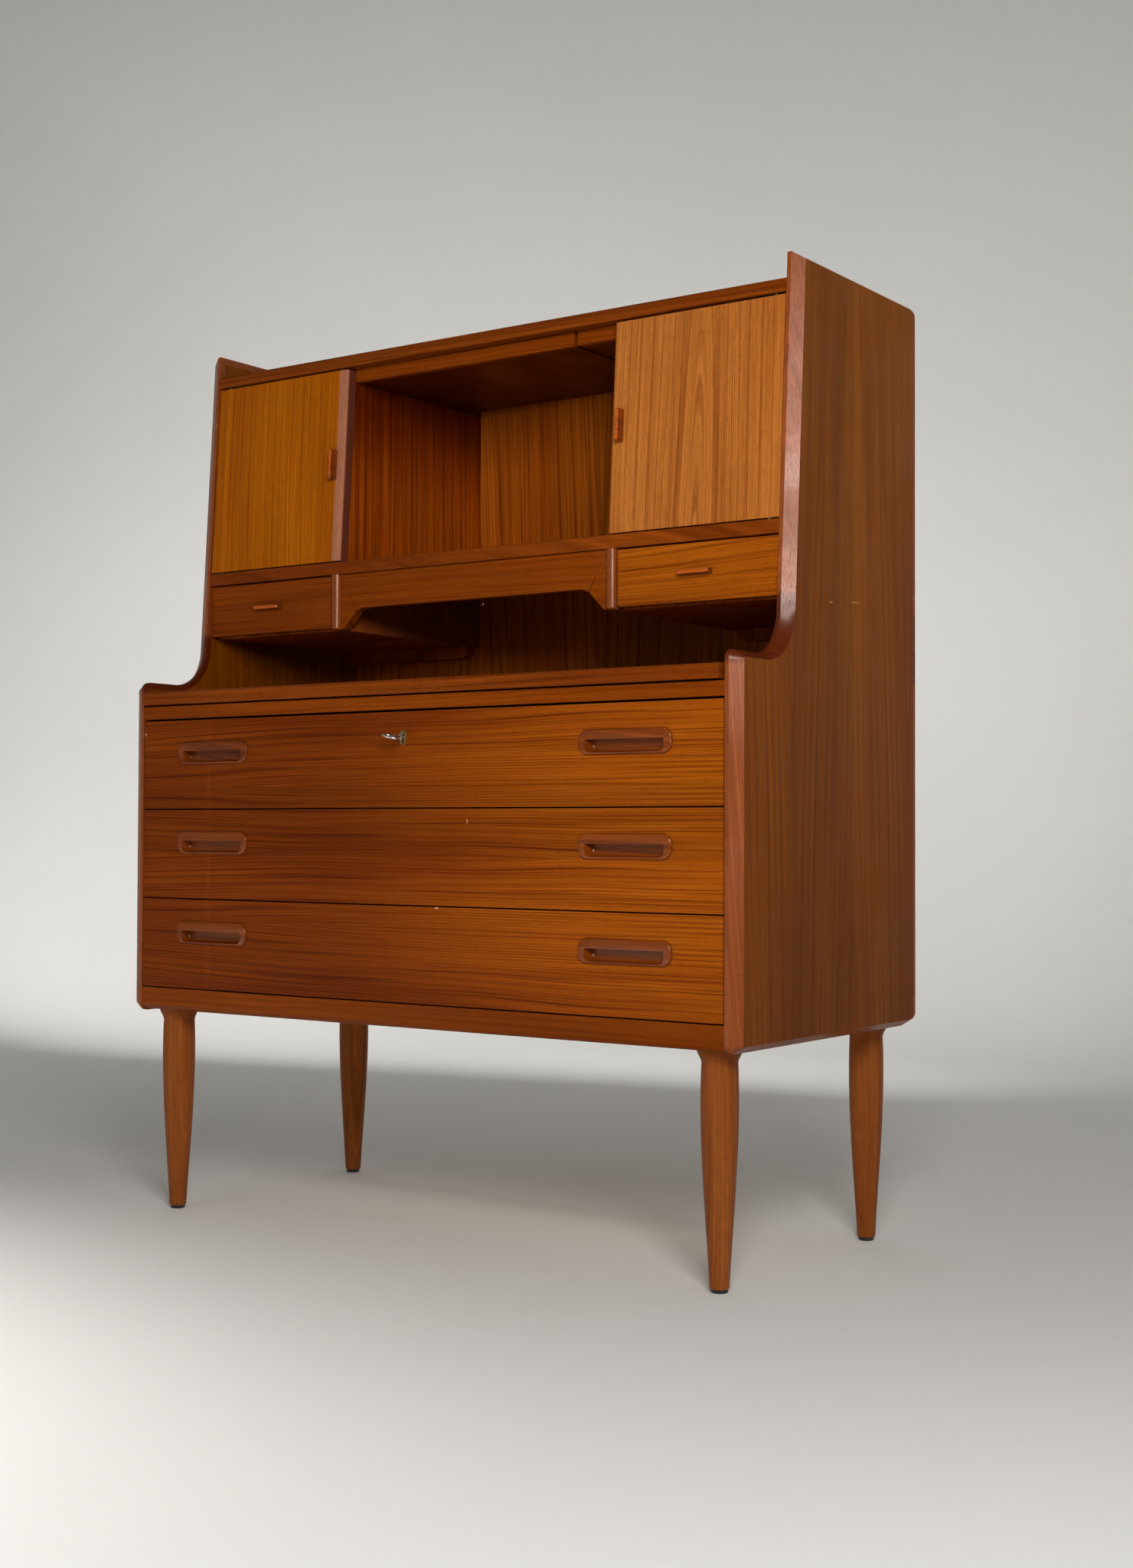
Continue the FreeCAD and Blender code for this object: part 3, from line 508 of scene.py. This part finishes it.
@dataclass(frozen=True)
class PlainWood:
    """Unpolished hardwood or plywood, as used where it isn't seen.

    Args:
        name: the material's name.
        light: colour of the early wood.
        dark: colour of the late wood.
        grain: the way the fibres run.
    """

    name: str
    light: Colour
    dark: Colour
    grain: Grain

    def build(self) -> bpy.types.Material:
        """Make the material.

        Returns:
            The finished material.
        """
        bench = ShaderBench(self.name)
        places = dict(zip("XYZ", bench.place()))
        ways = (places.pop(self.grain.value), *places.values())
        band = bench.remap(bench.noise(bench.stretched(ways, 1.6, 70.0), 1.0, 4.0, 0.6), 0.35, 0.7)
        fleck = bench.noise(bench.stretched(ways, 60.0, 700.0), 1.0, 2.0)
        colour = bench.blend(band, self.light, self.dark)
        colour = bench.blend(bench.remap(fleck, 0.56, 0.72, 0.0, 0.5), colour, self.dark)
        bench.surface(colour, bench.remap(band, 0.0, 1.0, 0.62, 0.52), fleck, 0.00008)
        return bench.material


@dataclass(frozen=True)
class Metal:
    """Metal with fine draw lines and a little tarnish.

    Args:
        name: the material's name.
        bright: clean colour.
        tarnish: colour where it has dulled.
        gloss: its roughness where clean.
    """

    name: str
    bright: Colour
    tarnish: Colour
    gloss: float

    def build(self) -> bpy.types.Material:
        """Make the material.

        Returns:
            The finished material.
        """
        bench = ShaderBench(self.name)
        x, y, z = bench.place()
        stain = bench.remap(bench.noise(bench.join(x, y, z), 240.0, 3.0), 0.42, 0.70)
        draw_at = bench.join(bench.math("MULTIPLY", x, 3000.0), bench.math("MULTIPLY", y, 200.0),
                             bench.math("MULTIPLY", z, 3000.0))
        lines = bench.noise(draw_at, 1.0, 1.0)
        colour = bench.blend(stain, self.bright, self.tarnish)
        roughness = bench.math("ADD", bench.remap(stain, 0.0, 1.0, self.gloss, self.gloss + 0.2),
                               bench.math("MULTIPLY", lines, 0.06))
        bench.surface(colour, roughness, lines, 0.00001)
        bench.shader.inputs["Metallic"].default_value = 1.0
        return bench.material


@dataclass(frozen=True)
class Plastic:
    """Moulded plastic with scuffs.

    Args:
        name: the material's name.
        colour: body colour.
        scuff: colour of the scuffs.
    """

    name: str
    colour: Colour
    scuff: Colour

    def build(self) -> bpy.types.Material:
        """Make the material.

        Returns:
            The finished material.
        """
        bench = ShaderBench(self.name)
        where = bench.join(*bench.place())
        marks = bench.remap(bench.noise(where, 300.0, 4.0, 0.7), 0.58, 0.75)
        grain = bench.noise(where, 2200.0, 1.0)
        colour = bench.blend(marks, self.colour, self.scuff)
        bench.surface(colour, bench.remap(marks, 0.0, 1.0, 0.42, 0.70), grain, 0.00003)
        return bench.material


# The desk

SAME_POINT = 0.00002         # corners nearer than this are one corner
EASE_STEPS = 2               # steps round a sanded edge
SHARP_TURN = math.radians(28)  # edges that turn more than this are sanded
HIGH_EASE = 0.0012           # radii of sanded edges, from much handled to hardly rounded
DOOR_EASE = 0.0008
EDGE_EASE = 0.0006
HANDS = ("left", "right")


def deselect_all() -> None:
    """Leave nothing selected, so that the next operator acts on its own piece only."""
    bpy.ops.object.select_all(action="DESELECT")


def start_block(name: str, low: Vector, high: Vector) -> bpy.types.Object:
    """Add a block between two corners, with its place in its mesh.

    Args:
        name: the object's name.
        low: lowest corner.
        high: highest corner.

    Returns:
        The block, selected and active.
    """
    deselect_all()
    bpy.ops.mesh.primitive_cube_add(size=1.0, location=(low + high) / 2)
    block = bpy.context.object
    block.name = name
    block.scale = high - low
    bpy.ops.object.transform_apply(location=True, rotation=True, scale=True)
    return block


def bevel_where(piece: bpy.types.Object, test: Callable[[Vector, Vector], bool], radius: float,
                segments: int) -> None:
    """Round the edges whose two ends pass a test.

    Args:
        piece: the active object.
        test: says whether an edge, given by its ends, is rounded.
        radius: the rounding's radius.
        segments: its steps.
    """
    bpy.ops.object.mode_set(mode="EDIT")
    bpy.ops.mesh.select_mode(type="EDGE")
    bpy.ops.mesh.select_all(action="DESELECT")
    form = bmesh.from_edit_mesh(piece.data)
    for edge in form.edges:
        edge.select_set(test(edge.verts[0].co, edge.verts[1].co))
    bmesh.update_edit_mesh(piece.data)
    bpy.ops.mesh.bevel(offset=radius, segments=segments, affect="EDGES", clamp_overlap=True)
    bpy.ops.object.mode_set(mode="OBJECT")


def runs_deep(first: Vector, second: Vector) -> bool:
    """Whether an edge, given by its ends, runs from front to back."""
    return abs(first.y - second.y) > 0.005


def apply_modifiers(piece: bpy.types.Object) -> None:
    """Apply every modifier of a piece, in order."""
    deselect_all()
    bpy.context.view_layer.objects.active = piece
    piece.select_set(True)
    for modifier in list(piece.modifiers):
        bpy.ops.object.modifier_apply(modifier=modifier.name)


def dress(node: str, material: bpy.types.Material, ease: float = 0.0) -> None:
    """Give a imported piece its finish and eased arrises, and say so.

    Args:
        node: the piece's name.
        material: its finish.
        ease: radius of its sanded edges, or 0 for none.
    """
    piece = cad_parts[node]
    piece.data.materials.clear()
    piece.data.materials.append(material)
    if ease:
        weld = piece.modifiers.new("weld", "WELD")
        weld.merge_threshold = SAME_POINT
        bevel = piece.modifiers.new("eased_edges", "BEVEL")
        bevel.width = ease
        bevel.segments = EASE_STEPS
        bevel.limit_method = "ANGLE"
        bevel.angle_limit = SHARP_TURN
        bevel.harden_normals = True
    LOG.info("%s: %s", node, material.name)


@dataclass
class Case:
    """The fixed body of the desk: sides, boards, rails, back and bottom.

    Args:
        side: veneer of the side panels, scratched on the right, with painted shade darkening it towards the
            bottom.
        edging: solid wood on the sides' edges, dimmed where the hutch shades it.
        post: posts between the small drawers and the apron.
        across: top board and shelf.
        inner: dividers, inner floors and cleats, with painted shade darkening them under the top.
        back: veneer of the upper back.
        rail: apron and rails.
        ply: lower back and the boards that aren't seen.
        beech: runners.
    """

    side: Teak = Teak("teak_side_veneer", OLIVE, Grain.UPRIGHT, Face.SIDE, heart=(-0.55, 0.40),
                      taper=0.03, rings=230.0, contrast=0.42, leaf=0.16, leaf_start=-0.2515,
                      # Painted shade: the side darkens towards the bottom.
                      painted_shades=(PaintedShade("Z", 0.95, 0.25, 0.78),),
                      marks=(Mark((0.510, 0.0085, 0.8368), (0.002, 0.006, 0.0010)),
                             Mark((0.510, 0.0750, 0.8425), (0.002, 0.014, 0.0007))))
    edging: Teak = Teak("teak_side_edging", ROSE, Grain.UPRIGHT, Face.FRONT, heart=(0.52, 0.10),
                        rings=190.0, contrast=0.30, gloss=0.28, tint=(1.0, 0.84, 0.78), shine=0.28,
                        painted_shades=(PaintedShade("Z", 0.845, 0.835, 0.45), PaintedShade("Z", 0.755, 0.740, 2.2)))
    post: Teak = Teak("teak_posts", ROSE, Grain.UPRIGHT, Face.FRONT, heart=(0.52, 0.10), rings=190.0,
                      contrast=0.30, gloss=0.24, tint=(1.0, 0.76, 0.62), shine=0.45)
    across: Teak = Teak("teak_boards", RUSSET, Grain.WIDTH, Face.FRONT, heart=(0.90, 0.20), rings=170.0,
                        contrast=0.45)
    inner: Teak = Teak("teak_inside", SHADED, Grain.UPRIGHT, Face.SIDE, heart=(-0.55, 0.20), taper=0.05,
                       # Painted shade: darker towards the top, under the top board.
                       rings=190.0, contrast=0.60, sway=0.03, painted_shades=(PaintedShade("Z", 1.02, 1.19, 0.35),))
    back: Teak = Teak("teak_back_veneer", BACK, Grain.UPRIGHT, Face.FRONT, heart=(-0.35, 0.20),
                      taper=0.05, rings=190.0, contrast=0.62, leaf=0.23, leaf_start=-0.23)
    rail: Teak = Teak("teak_rails", UMBER, Grain.WIDTH, Face.FRONT, heart=(0.55, 0.2), rings=190.0,
                      contrast=0.35)
    ply: PlainWood = PlainWood("plywood_sheet", (0.56, 0.34, 0.16), (0.42, 0.23, 0.095), Grain.WIDTH)
    beech: PlainWood = PlainWood("beech_runners", (0.60, 0.42, 0.25), (0.44, 0.28, 0.15), Grain.DEPTH)

    def build(self) -> None:
        """Dress the fixed pieces."""
        side, edging, post = self.side.build(), self.edging.build(), self.post.build()
        across, inner, back = self.across.build(), self.inner.build(), self.back.build()
        rail, ply, beech = self.rail.build(), self.ply.build(), self.beech.build()
        for hand in HANDS:
            dress("side_panel_" + hand, side)
            dress("side_edging_" + hand, edging, ease=HIGH_EASE)
            dress("hutch_divider_" + hand, inner)
            dress("small_drawer_divider_" + hand, post)
        for node in ("top_panel", "hutch_shelf"):
            dress(node, across, ease=EDGE_EASE)
        for node in ("apron", "desk_rail", "bottom_rail"):
            dress(node, rail, ease=EDGE_EASE)
        for node in ("small_drawer_floors", "rear_cleats"):
            dress(node, inner)
        dress("back_panel_upper", back)
        for node in ("back_panel_lower", "bottom_panel", "dust_panel"):
            dress(node, ply)
        for node in ("drawer_runners", "leaf_supports", "tray_runners"):
            dress(node, beech)


@dataclass
class Legs:
    """The four turned legs and their glides.

    Args:
        wood: the legs.
        glide: the glides.
    """

    wood: Teak = Teak("teak_legs", LEG, Grain.UPRIGHT, Face.FRONT, heart=(0.40, 0.26), taper=0.03,
                      rings=150.0, contrast=0.35, gloss=0.40)
    glide: Plastic = Plastic("black_glides", (0.012, 0.012, 0.012), (0.06, 0.055, 0.05))

    def build(self) -> None:
        """Dress the legs and glides."""
        wood = self.wood.build()
        for place in ("front_left", "front_right", "rear_left", "rear_right"):
            dress("leg_" + place, wood)
        dress("leg_glides", self.glide.build())


@dataclass
class WritingLeaf:
    """The sliding writing board and its solid front edge.

    Args:
        wood: veneer of the board.
        lip: the front edge.
    """

    wood: Teak = Teak("teak_leaf", RUSSET, Grain.WIDTH, Face.TOP, heart=(0.45, 0.9), rings=160.0,
                      contrast=0.45, leaf=0.16, leaf_start=-0.22)
    lip: Teak = Teak("teak_leaf_lip", RUSSET, Grain.WIDTH, Face.FRONT, heart=(1.1, 0.2), rings=130.0,
                     contrast=0.4, gloss=0.30)

    def build(self) -> None:
        """Dress the leaf."""
        dress("writing_leaf_board", self.wood.build())
        dress("writing_leaf_front_edge", self.lip.build(), ease=EDGE_EASE)


@dataclass
class CarvedPull:
    """A long pull let into a drawer front: a rounded bar with a brow over a hollow for the fingers.

    Args:
        length: of the bar.
        height: of the bar.
        corner: radius of its outline at the four corners.
        rim: radius round its front face.
        mouth: half the hollow's width at the front.
        floor: half the hollow's width at its back.
        floor_share: the hollow's height at its back, beside its height at the front.
        brow: the brow's lower edge above the bar's middle.
        sill: the hollow's lower edge below the bar's middle.
        hollow: depth of the hollow behind the bar's face.
        low_round: radius of the hollow's two lower corners.
        floor_round: radius round the hollow's floor.
        pocket_in: where the pocket behind the brow starts, behind the bar's face.
        pocket: the pocket's lowest and highest height from the bar's middle.
        pocket_round: radius of the pocket's upper edges.
        brow_round: radius of the brow's lower edge.
        lip: radius round the hollow's mouth.
        touch: how near an edge has to be to a plane to count as on it.
    """

    length: float = 0.136
    height: float = 0.032
    corner: float = 0.0134
    rim: float = 0.0030
    mouth: float = 0.0588
    floor: float = 0.0535
    floor_share: float = 0.88
    brow: float = 0.0030
    sill: float = 0.0140
    hollow: float = 0.0140
    low_round: float = 0.0085
    floor_round: float = 0.0030
    pocket_in: float = 0.0072
    pocket: tuple[float, float] = (-0.0040, 0.0096)
    pocket_round: float = 0.0025
    brow_round: float = 0.0034
    lip: float = 0.0010
    touch: float = 0.0001

    def blank(self, name: str, centre: Vector, front: float, back: float) -> bpy.types.Object:
        """The rounded bar before it is hollowed.

        Args:
            name: the object's name.
            centre: middle of the pull.
            front: Y of its face.
            back: Y of its back.

        Returns:
            The bar.
        """
        half = Vector((self.length / 2, 0.0, self.height / 2))
        low, high = centre - half, centre + half
        low.y, high.y = front, back
        bar = start_block(name, low, high)
        bevel_where(bar, runs_deep, self.corner, 9)
        bevel_where(bar, lambda a, b: max(a.y, b.y) < front + self.touch, self.rim, 4)
        return bar

    def cutter(self, centre: Vector, front: float) -> bpy.types.Object:
        """The hollow as a solid: wide at the mouth, with flared ends and round lower corners.

        Args:
            centre: middle of the pull.
            front: Y of its face.

        Returns:
            The cutter.
        """
        before_face = front - 0.004
        low = Vector((centre.x - self.mouth, before_face, centre.z - self.sill))
        high = Vector((centre.x + self.mouth, front + self.hollow, centre.z + self.brow))
        block = start_block("hollow", low, high)
        bpy.ops.object.mode_set(mode="EDIT")
        bpy.ops.mesh.select_mode(type="FACE")
        bpy.ops.mesh.select_all(action="DESELECT")
        form = bmesh.from_edit_mesh(block.data)
        for face in form.faces:
            looks_back = face.normal.y > 0.9
            face.select_set(looks_back)
        bmesh.update_edit_mesh(block.data)
        bpy.ops.transform.resize(value=(self.floor / self.mouth, 1.0, self.floor_share),
                                 center_override=(centre.x, 0.0, centre.z + self.brow))
        bpy.ops.object.mode_set(mode="OBJECT")
        bevel_where(block, lambda a, b: runs_deep(a, b) and max(a.z, b.z) < centre.z, self.low_round, 7)
        floor_at = front + self.hollow - self.touch
        bevel_where(block, lambda a, b: min(a.y, b.y) > floor_at, self.floor_round, 4)
        return block

    def undercut(self, centre: Vector, front: float) -> bpy.types.Object:
        """The pocket behind the brow that the fingertips hook into.

        Args:
            centre: middle of the pull.
            front: Y of its face.

        Returns:
            The cutter.
        """
        low = Vector((centre.x - self.floor, front + self.pocket_in, centre.z + self.pocket[0]))
        high = Vector((centre.x + self.floor, front + self.hollow, centre.z + self.pocket[1]))
        pocket = start_block("undercut", low, high)
        bevel_where(pocket, lambda a, b: min(a.z, b.z) > high.z - self.touch, self.pocket_round, 4)
        return pocket

    def carve(self, name: str, centre: Vector, front: float, back: float) -> bpy.types.Object:
        """Hollow the bar and ease its edges.

        Args:
            name: the object's name.
            centre: middle of the pull.
            front: Y of its face.
            back: Y of its back.

        Returns:
            The finished pull.
        """
        bar = self.blank(name, centre, front, back)
        tools = [self.cutter(centre, front), self.undercut(centre, front)]
        for tool in tools:
            cut = bar.modifiers.new("cut", "BOOLEAN")
            cut.object = tool
            cut.solver = "EXACT"
        apply_modifiers(bar)
        for tool in tools:
            bpy.data.objects.remove(tool)
        edge, near = centre.z + self.brow, 2 * self.touch
        bevel_where(bar, lambda a, b: max(abs(a.z - edge), abs(b.z - edge)) < near
                    and max(a.y, b.y) < front + near, self.brow_round, 5)
        ease = bar.modifiers.new("eased_lips", "BEVEL")
        ease.width = self.lip
        ease.segments = 4
        ease.limit_method = "ANGLE"
        ease.angle_limit = math.radians(38)
        apply_modifiers(bar)
        bpy.ops.object.shade_smooth_by_angle(angle=math.radians(50))
        return bar

    def fit_pair(self, node: str, body: str, finish: bpy.types.Material) -> None:
        """Carve a drawer's two pulls in place of their plain solids.

        Args:
            node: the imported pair.
            body: the drawer that they ride on.
            finish: their wood.
        """
        low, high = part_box(node)
        height = (low.z + high.z) / 2
        reach = high.x - self.length / 2
        first = self.carve(node + "_left", Vector((-reach, 0.0, height)), low.y, high.y)
        second = first.copy()
        second.data = first.data.copy()
        second.name = node + "_right"
        bpy.context.scene.collection.objects.link(second)
        second.data.transform(Matrix.Translation((2 * reach, 0.0, 0.0)))
        for pull in (first, second):
            pull.data.materials.clear()
            pull.data.materials.append(finish)
            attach(pull, body)
            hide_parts(node)
            LOG.info("%s: %d faces", pull.name, len(pull.data.polygons))


@dataclass
class LongDrawers:
    """Three long drawers with fronts cut from one run of matched veneer.

    Args:
        front: the veneer, with painted shade darker and redder to the left and below, a faded strip and three
            chips.
        pull: the carved pulls.
        box: sides, back and bottom.
        carving: the pulls' shape.
    """

    front: Teak = Teak("teak_drawer_fronts", ORANGE, Grain.WIDTH, Face.FRONT, heart=(-0.30, 0.30),
                       rings=430.0, contrast=0.68, leaf=0.0954, leaf_start=0.704 - 0.0954 * 6,
                       strip=(-0.3575, 0.007),
                       # Painted shade: darker and redder to the left and towards the lower drawers.
                       painted_shades=(PaintedShade("X", 0.44, -0.16, 0.56), PaintedShade("Z", 0.46, 0.32, 0.84)),
                       marks=(Mark((0.0572, -0.216, 0.4478), (0.0040, 0.002, 0.0018)),
                              Mark((0.1068, -0.216, 0.5597), (0.0008, 0.002, 0.0040)),
                              Mark((-0.4850, -0.216, 0.6854), (0.0016, 0.002, 0.0030))))
    pull: Teak = Teak("teak_pulls", CARVED, Grain.WIDTH, Face.FRONT, heart=(0.7, 0.1), rings=160.0,
                      contrast=0.5, gloss=0.14, tint=(1.0, 0.80, 0.66), shine=0.42)
    box: PlainWood = PlainWood("beech_drawer_boxes", (0.64, 0.42, 0.24), (0.50, 0.30, 0.155), Grain.DEPTH)
    carving: CarvedPull = field(default_factory=CarvedPull)

    def build(self) -> None:
        """Dress the drawers."""
        front, pull, box = self.front.build(), self.pull.build(), self.box.build()
        for number in (1, 2, 3):
            dress("drawer_%d_front" % number, front, ease=EDGE_EASE)
            self.carving.fit_pair("drawer_%d_pulls" % number, "drawer_%d" % number, pull)
            dress("drawer_%d_box" % number, box)


@dataclass
class Lock:
    """The metalwork: lock, key, hinges, screws and bolts.

    Args:
        steel: key, lock, bolts and screws.
        brass: escutcheon and hinges.
    """

    steel: Metal = Metal("key_steel", (0.62, 0.60, 0.55), (0.30, 0.28, 0.24), 0.24)
    brass: Metal = Metal("aged_brass", (0.30, 0.23, 0.09), (0.12, 0.09, 0.04), 0.38)

    def build(self) -> None:
        """Dress the metalwork."""
        steel, brass = self.steel.build(), self.brass.build()
        for node in ("key", "lock_case", "lock_bolt", "leg_bolts", "back_screws"):
            dress(node, steel)
        for node in ("key_escutcheon", "fixed_hinge_leaves", "door_left_hinge_leaves",
                     "door_right_hinge_leaves"):
            dress(node, brass)


@dataclass
class Hutch:
    """Doors, small drawers, trays and catches.

    Args:
        left_door: straight veneer of the left door.
        right_door: figured veneer of the right door, its amber tones holding a painted whitish sheen.
        small: fronts of the small drawers, with painted shade darker to the left.
        fin: the upright and level fin pulls, with a painted highlight on their fronts.
        box: the small drawers' boxes.
        catch: the doors' catches.
        lipping: width of the strip at the left door's free end.
        lipping_face: the part of it that faces forward, before the shaded end.
        tray_front: thickness of the trays' fronts, behind which painted shade darkens them.
    """

    left_door: Teak = Teak("teak_left_door", GOLDEN, Grain.UPRIGHT, Face.FRONT, heart=(-0.80, 0.16),
                           taper=0.03, rings=300.0, contrast=0.50, sway=0.02)
    right_door: Teak = Teak("teak_right_door", AMBER_AND_SHEEN, Grain.UPRIGHT, Face.FRONT, heart=(0.366, 0.097),
                            taper=-0.0094, rings=330.0, contrast=0.50, sway=0.01)
    small: Teak = Teak("teak_small_fronts", ORANGE, Grain.WIDTH, Face.FRONT, heart=(0.98, 0.14),
                       # Painted shade: darker to the left.
                       rings=300.0, contrast=0.45, painted_shades=(PaintedShade("X", 0.45, -0.40, 0.68),))
    fin: Teak = Teak("teak_fin_pulls", CARVED, Grain.WIDTH, Face.FRONT, heart=(0.7, 0.1), rings=150.0,
                     contrast=0.4, gloss=0.15, tint=(1.0, 0.85, 0.76), shine=0.4, front_highlight=2.6)
    box: PlainWood = PlainWood("beech_small_boxes", (0.62, 0.41, 0.235), (0.48, 0.29, 0.15), Grain.DEPTH)
    catch: Plastic = Plastic("brown_catches", (0.10, 0.05, 0.02), (0.2, 0.13, 0.08))
    lipping: float = 0.015
    lipping_face: float = 0.0136
    tray_front: float = 0.0100

    def build(self) -> None:
        """Dress the moving parts of the hutch."""
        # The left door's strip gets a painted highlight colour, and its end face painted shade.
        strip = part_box("door_left_panel")[1].x - self.lipping
        shaded_end = PaintedShade("X", strip + self.lipping_face, strip + self.lipping_face + 0.001, 0.35)
        left = replace(self.left_door, lipping=strip, painted_shades=(shaded_end,))
        doors = {"left": left.build(), "right": self.right_door.build()}
        small, fin, box = self.small.build(), self.fin.build(), self.box.build()
        for hand in HANDS:
            dress("door_%s_panel" % hand, doors[hand], ease=DOOR_EASE)
            dress("door_%s_pull" % hand, fin, ease=HIGH_EASE)
            dress("small_drawer_%s_front" % hand, small, ease=DOOR_EASE)
            dress("small_drawer_%s_pull" % hand, fin, ease=HIGH_EASE)
            dress("small_drawer_%s_box" % hand, box)
        # Painted shade: the trays darken behind their fronts, under the top.
        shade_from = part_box("tray_long")[0].y + self.tray_front
        shade_behind_fronts = PaintedShade("Y", shade_from, shade_from + 0.0004, 0.3)
        tray = replace(self.small, name="teak_trays", tones=UMBER, painted_shades=(shade_behind_fronts,)).build()
        for node in ("tray_long", "tray_short"):
            dress(node, tray)
        dress("door_catches", self.catch.build())


# The studio


@dataclass
class Studio:
    """Pale sweep, soft lights and the camera.

    Args:
        floor_reach: radius of the flat floor.
        sweep: radius of the curve between floor and wall.
        sweep_steps: steps in that curve.
        wall_top: height of the wall.
        eye: where the camera stands.
        yaw: how far it looks to the left of straight back, in degrees.
        pitch: how far it looks up, in degrees.
        roll: how far it leans, in degrees.
        lens: its focal length in millimetres.
        sensor: its film's side in millimetres.
    """

    floor_reach: float = 2.3
    sweep: float = 1.3
    sweep_steps: int = 12
    wall_top: float = 3.8
    eye: Place = (1.69291, -2.23862, 0.54667)
    yaw: float = 35.27
    pitch: float = 1.37
    roll: float = 0.2
    lens: float = 46.08
    sensor: float = 36.0

    def build_sweep(self) -> None:
        """A round floor that curves up into a wall."""
        deselect_all()
        bpy.ops.mesh.primitive_circle_add(vertices=96, radius=self.floor_reach, fill_type="NGON")
        sweep = bpy.context.object
        sweep.name = "studio_sweep"
        bpy.ops.object.mode_set(mode="EDIT")
        bpy.ops.mesh.select_all(action="SELECT")
        bpy.ops.mesh.edge_face_add()
        bpy.ops.mesh.select_mode(type="EDGE")
        bpy.ops.mesh.region_to_loop()
        reach, height = self.floor_reach, 0.0
        for step in range(1, self.sweep_steps + 1):
            turn = math.pi / 2 * step / self.sweep_steps
            new_reach = self.floor_reach + self.sweep * math.sin(turn)
            new_height = self.sweep * (1 - math.cos(turn))
            self.raise_rim(new_reach / reach, new_height - height)
            reach, height = new_reach, new_height
        self.raise_rim(1.0, self.wall_top - height)
        bpy.ops.object.mode_set(mode="OBJECT")
        bpy.ops.object.shade_smooth_by_angle(angle=math.radians(40))
        sweep.data.materials.append(self.paper())
        LOG.info("studio sweep: %d faces", len(sweep.data.polygons))

    def raise_rim(self, grow: float, lift: float) -> None:
        """Extrude the sweep's selected rim up, then widen it."""
        bpy.ops.mesh.extrude_edges_move(TRANSFORM_OT_translate={"value": (0, 0, lift)})
        bpy.ops.transform.resize(value=(grow, grow, 1.0), center_override=(0, 0, 0))

    def paper(self) -> bpy.types.Material:
        """Matt pale paper, a little uneven."""
        bench = ShaderBench("pale_paper")
        where = bench.join(*bench.place())
        cloud = bench.noise(where, 1.3, 3.0)
        colour = bench.blend(cloud, (0.74, 0.735, 0.72), (0.80, 0.795, 0.78))
        bench.surface(colour, 0.9, bench.noise(where, 60.0, 3.0), 0.0004)
        bench.shader.inputs["Specular IOR Level"].default_value = 0.1
        return bench.material

    def soft_light(self, name: str, place: Place, aim: Place, size: tuple[float, float], power: float,
                   colour: Colour, spread: float = 180.0) -> None:
        """Add one rectangular soft light.

        Args:
            name: the light's name.
            place: where it hangs.
            aim: the point that it faces.
            size: width and height.
            power: watts.
            colour: its colour.
            spread: angle that its beam fills, in degrees.
        """
        deselect_all()
        bpy.ops.object.light_add(type="AREA", location=place)
        lamp = bpy.context.object
        lamp.name = name
        lamp.data.shape = "RECTANGLE"
        lamp.data.size, lamp.data.size_y = size
        lamp.data.energy = power
        lamp.data.color = colour
        lamp.data.spread = math.radians(spread)
        lamp.rotation_euler = (Vector(aim) - Vector(place)).to_track_quat("-Z", "Y").to_euler()
        lamp.visible_camera = False

    def build_lights(self) -> None:
        """Key from the front right, a floor light, a window on the right, wall washes and dim air."""
        warm, cool = (1.0, 0.985, 0.96), (0.97, 0.98, 1.0)
        self.soft_light("key_softbox", (1.55, -1.70, 1.40), (0.3, -0.1, 0.75), (0.7, 0.7), 36.0, warm)
        self.soft_light("floor_softbox", (-0.8, -1.7, 2.7), (-0.8, -1.7, 0.0), (1.3, 0.7), 24.0, warm, 56.0)
        self.soft_light("window_right", (3.0, 0.1, 1.3), (0.2, 0.0, 0.8), (0.8, 2.0), 3.0, cool)
        self.soft_light("wall_wash_high", (-0.8, 0.9, 2.9), (-1.0, 3.6, 1.4), (3.0, 0.8), 15.0, warm)
        self.soft_light("wall_wash_low", (-1.3, 1.0, 0.5), (-1.9, 3.6, 0.9), (2.6, 0.6), 18.0, warm, 130.0)
        world = bpy.data.worlds.new("pale_air")
        bpy.context.scene.world = world
        world.use_nodes = True
        air = world.node_tree.nodes["Background"]
        air.inputs["Color"].default_value = (0.93, 0.94, 0.95, 1.0)
        air.inputs["Strength"].default_value = 0.06

    def build_camera(self) -> None:
        """Stand the camera at the viewer's place."""
        yaw, pitch, roll = (math.radians(a) for a in (self.yaw, self.pitch, self.roll))
        forward = Vector((-math.sin(yaw) * math.cos(pitch), math.cos(yaw) * math.cos(pitch),
                          math.sin(pitch)))
        level = Vector((math.cos(yaw), math.sin(yaw), 0.0))
        plumb = level.cross(forward)
        right = level * math.cos(roll) + plumb * math.sin(roll)
        up = plumb * math.cos(roll) - level * math.sin(roll)
        deselect_all()
        bpy.ops.object.camera_add(location=self.eye)
        camera = bpy.context.object
        camera.name = "viewer"
        turn = Matrix((right, up, -forward)).transposed()
        camera.rotation_euler = turn.to_euler()
        camera.data.lens = self.lens
        camera.data.sensor_width = camera.data.sensor_height = self.sensor
        bpy.context.scene.camera = camera

    def build(self) -> None:
        """Build the sweep, the lights and the camera."""
        self.build_sweep()
        self.build_lights()
        self.build_camera()
        bpy.context.scene.view_settings.view_transform = "Standard"


def main() -> None:
    """Build the studio and every sub-assembly."""
    logging.basicConfig(level=logging.INFO, format="%(name)s %(message)s")
    Studio().build()
    for part in (Case(), Legs(), WritingLeaf(), LongDrawers(), Lock(), Hutch()):
        part.build()
        LOG.info("%s done", type(part).__name__)


if __name__ == "__main__":
    main()
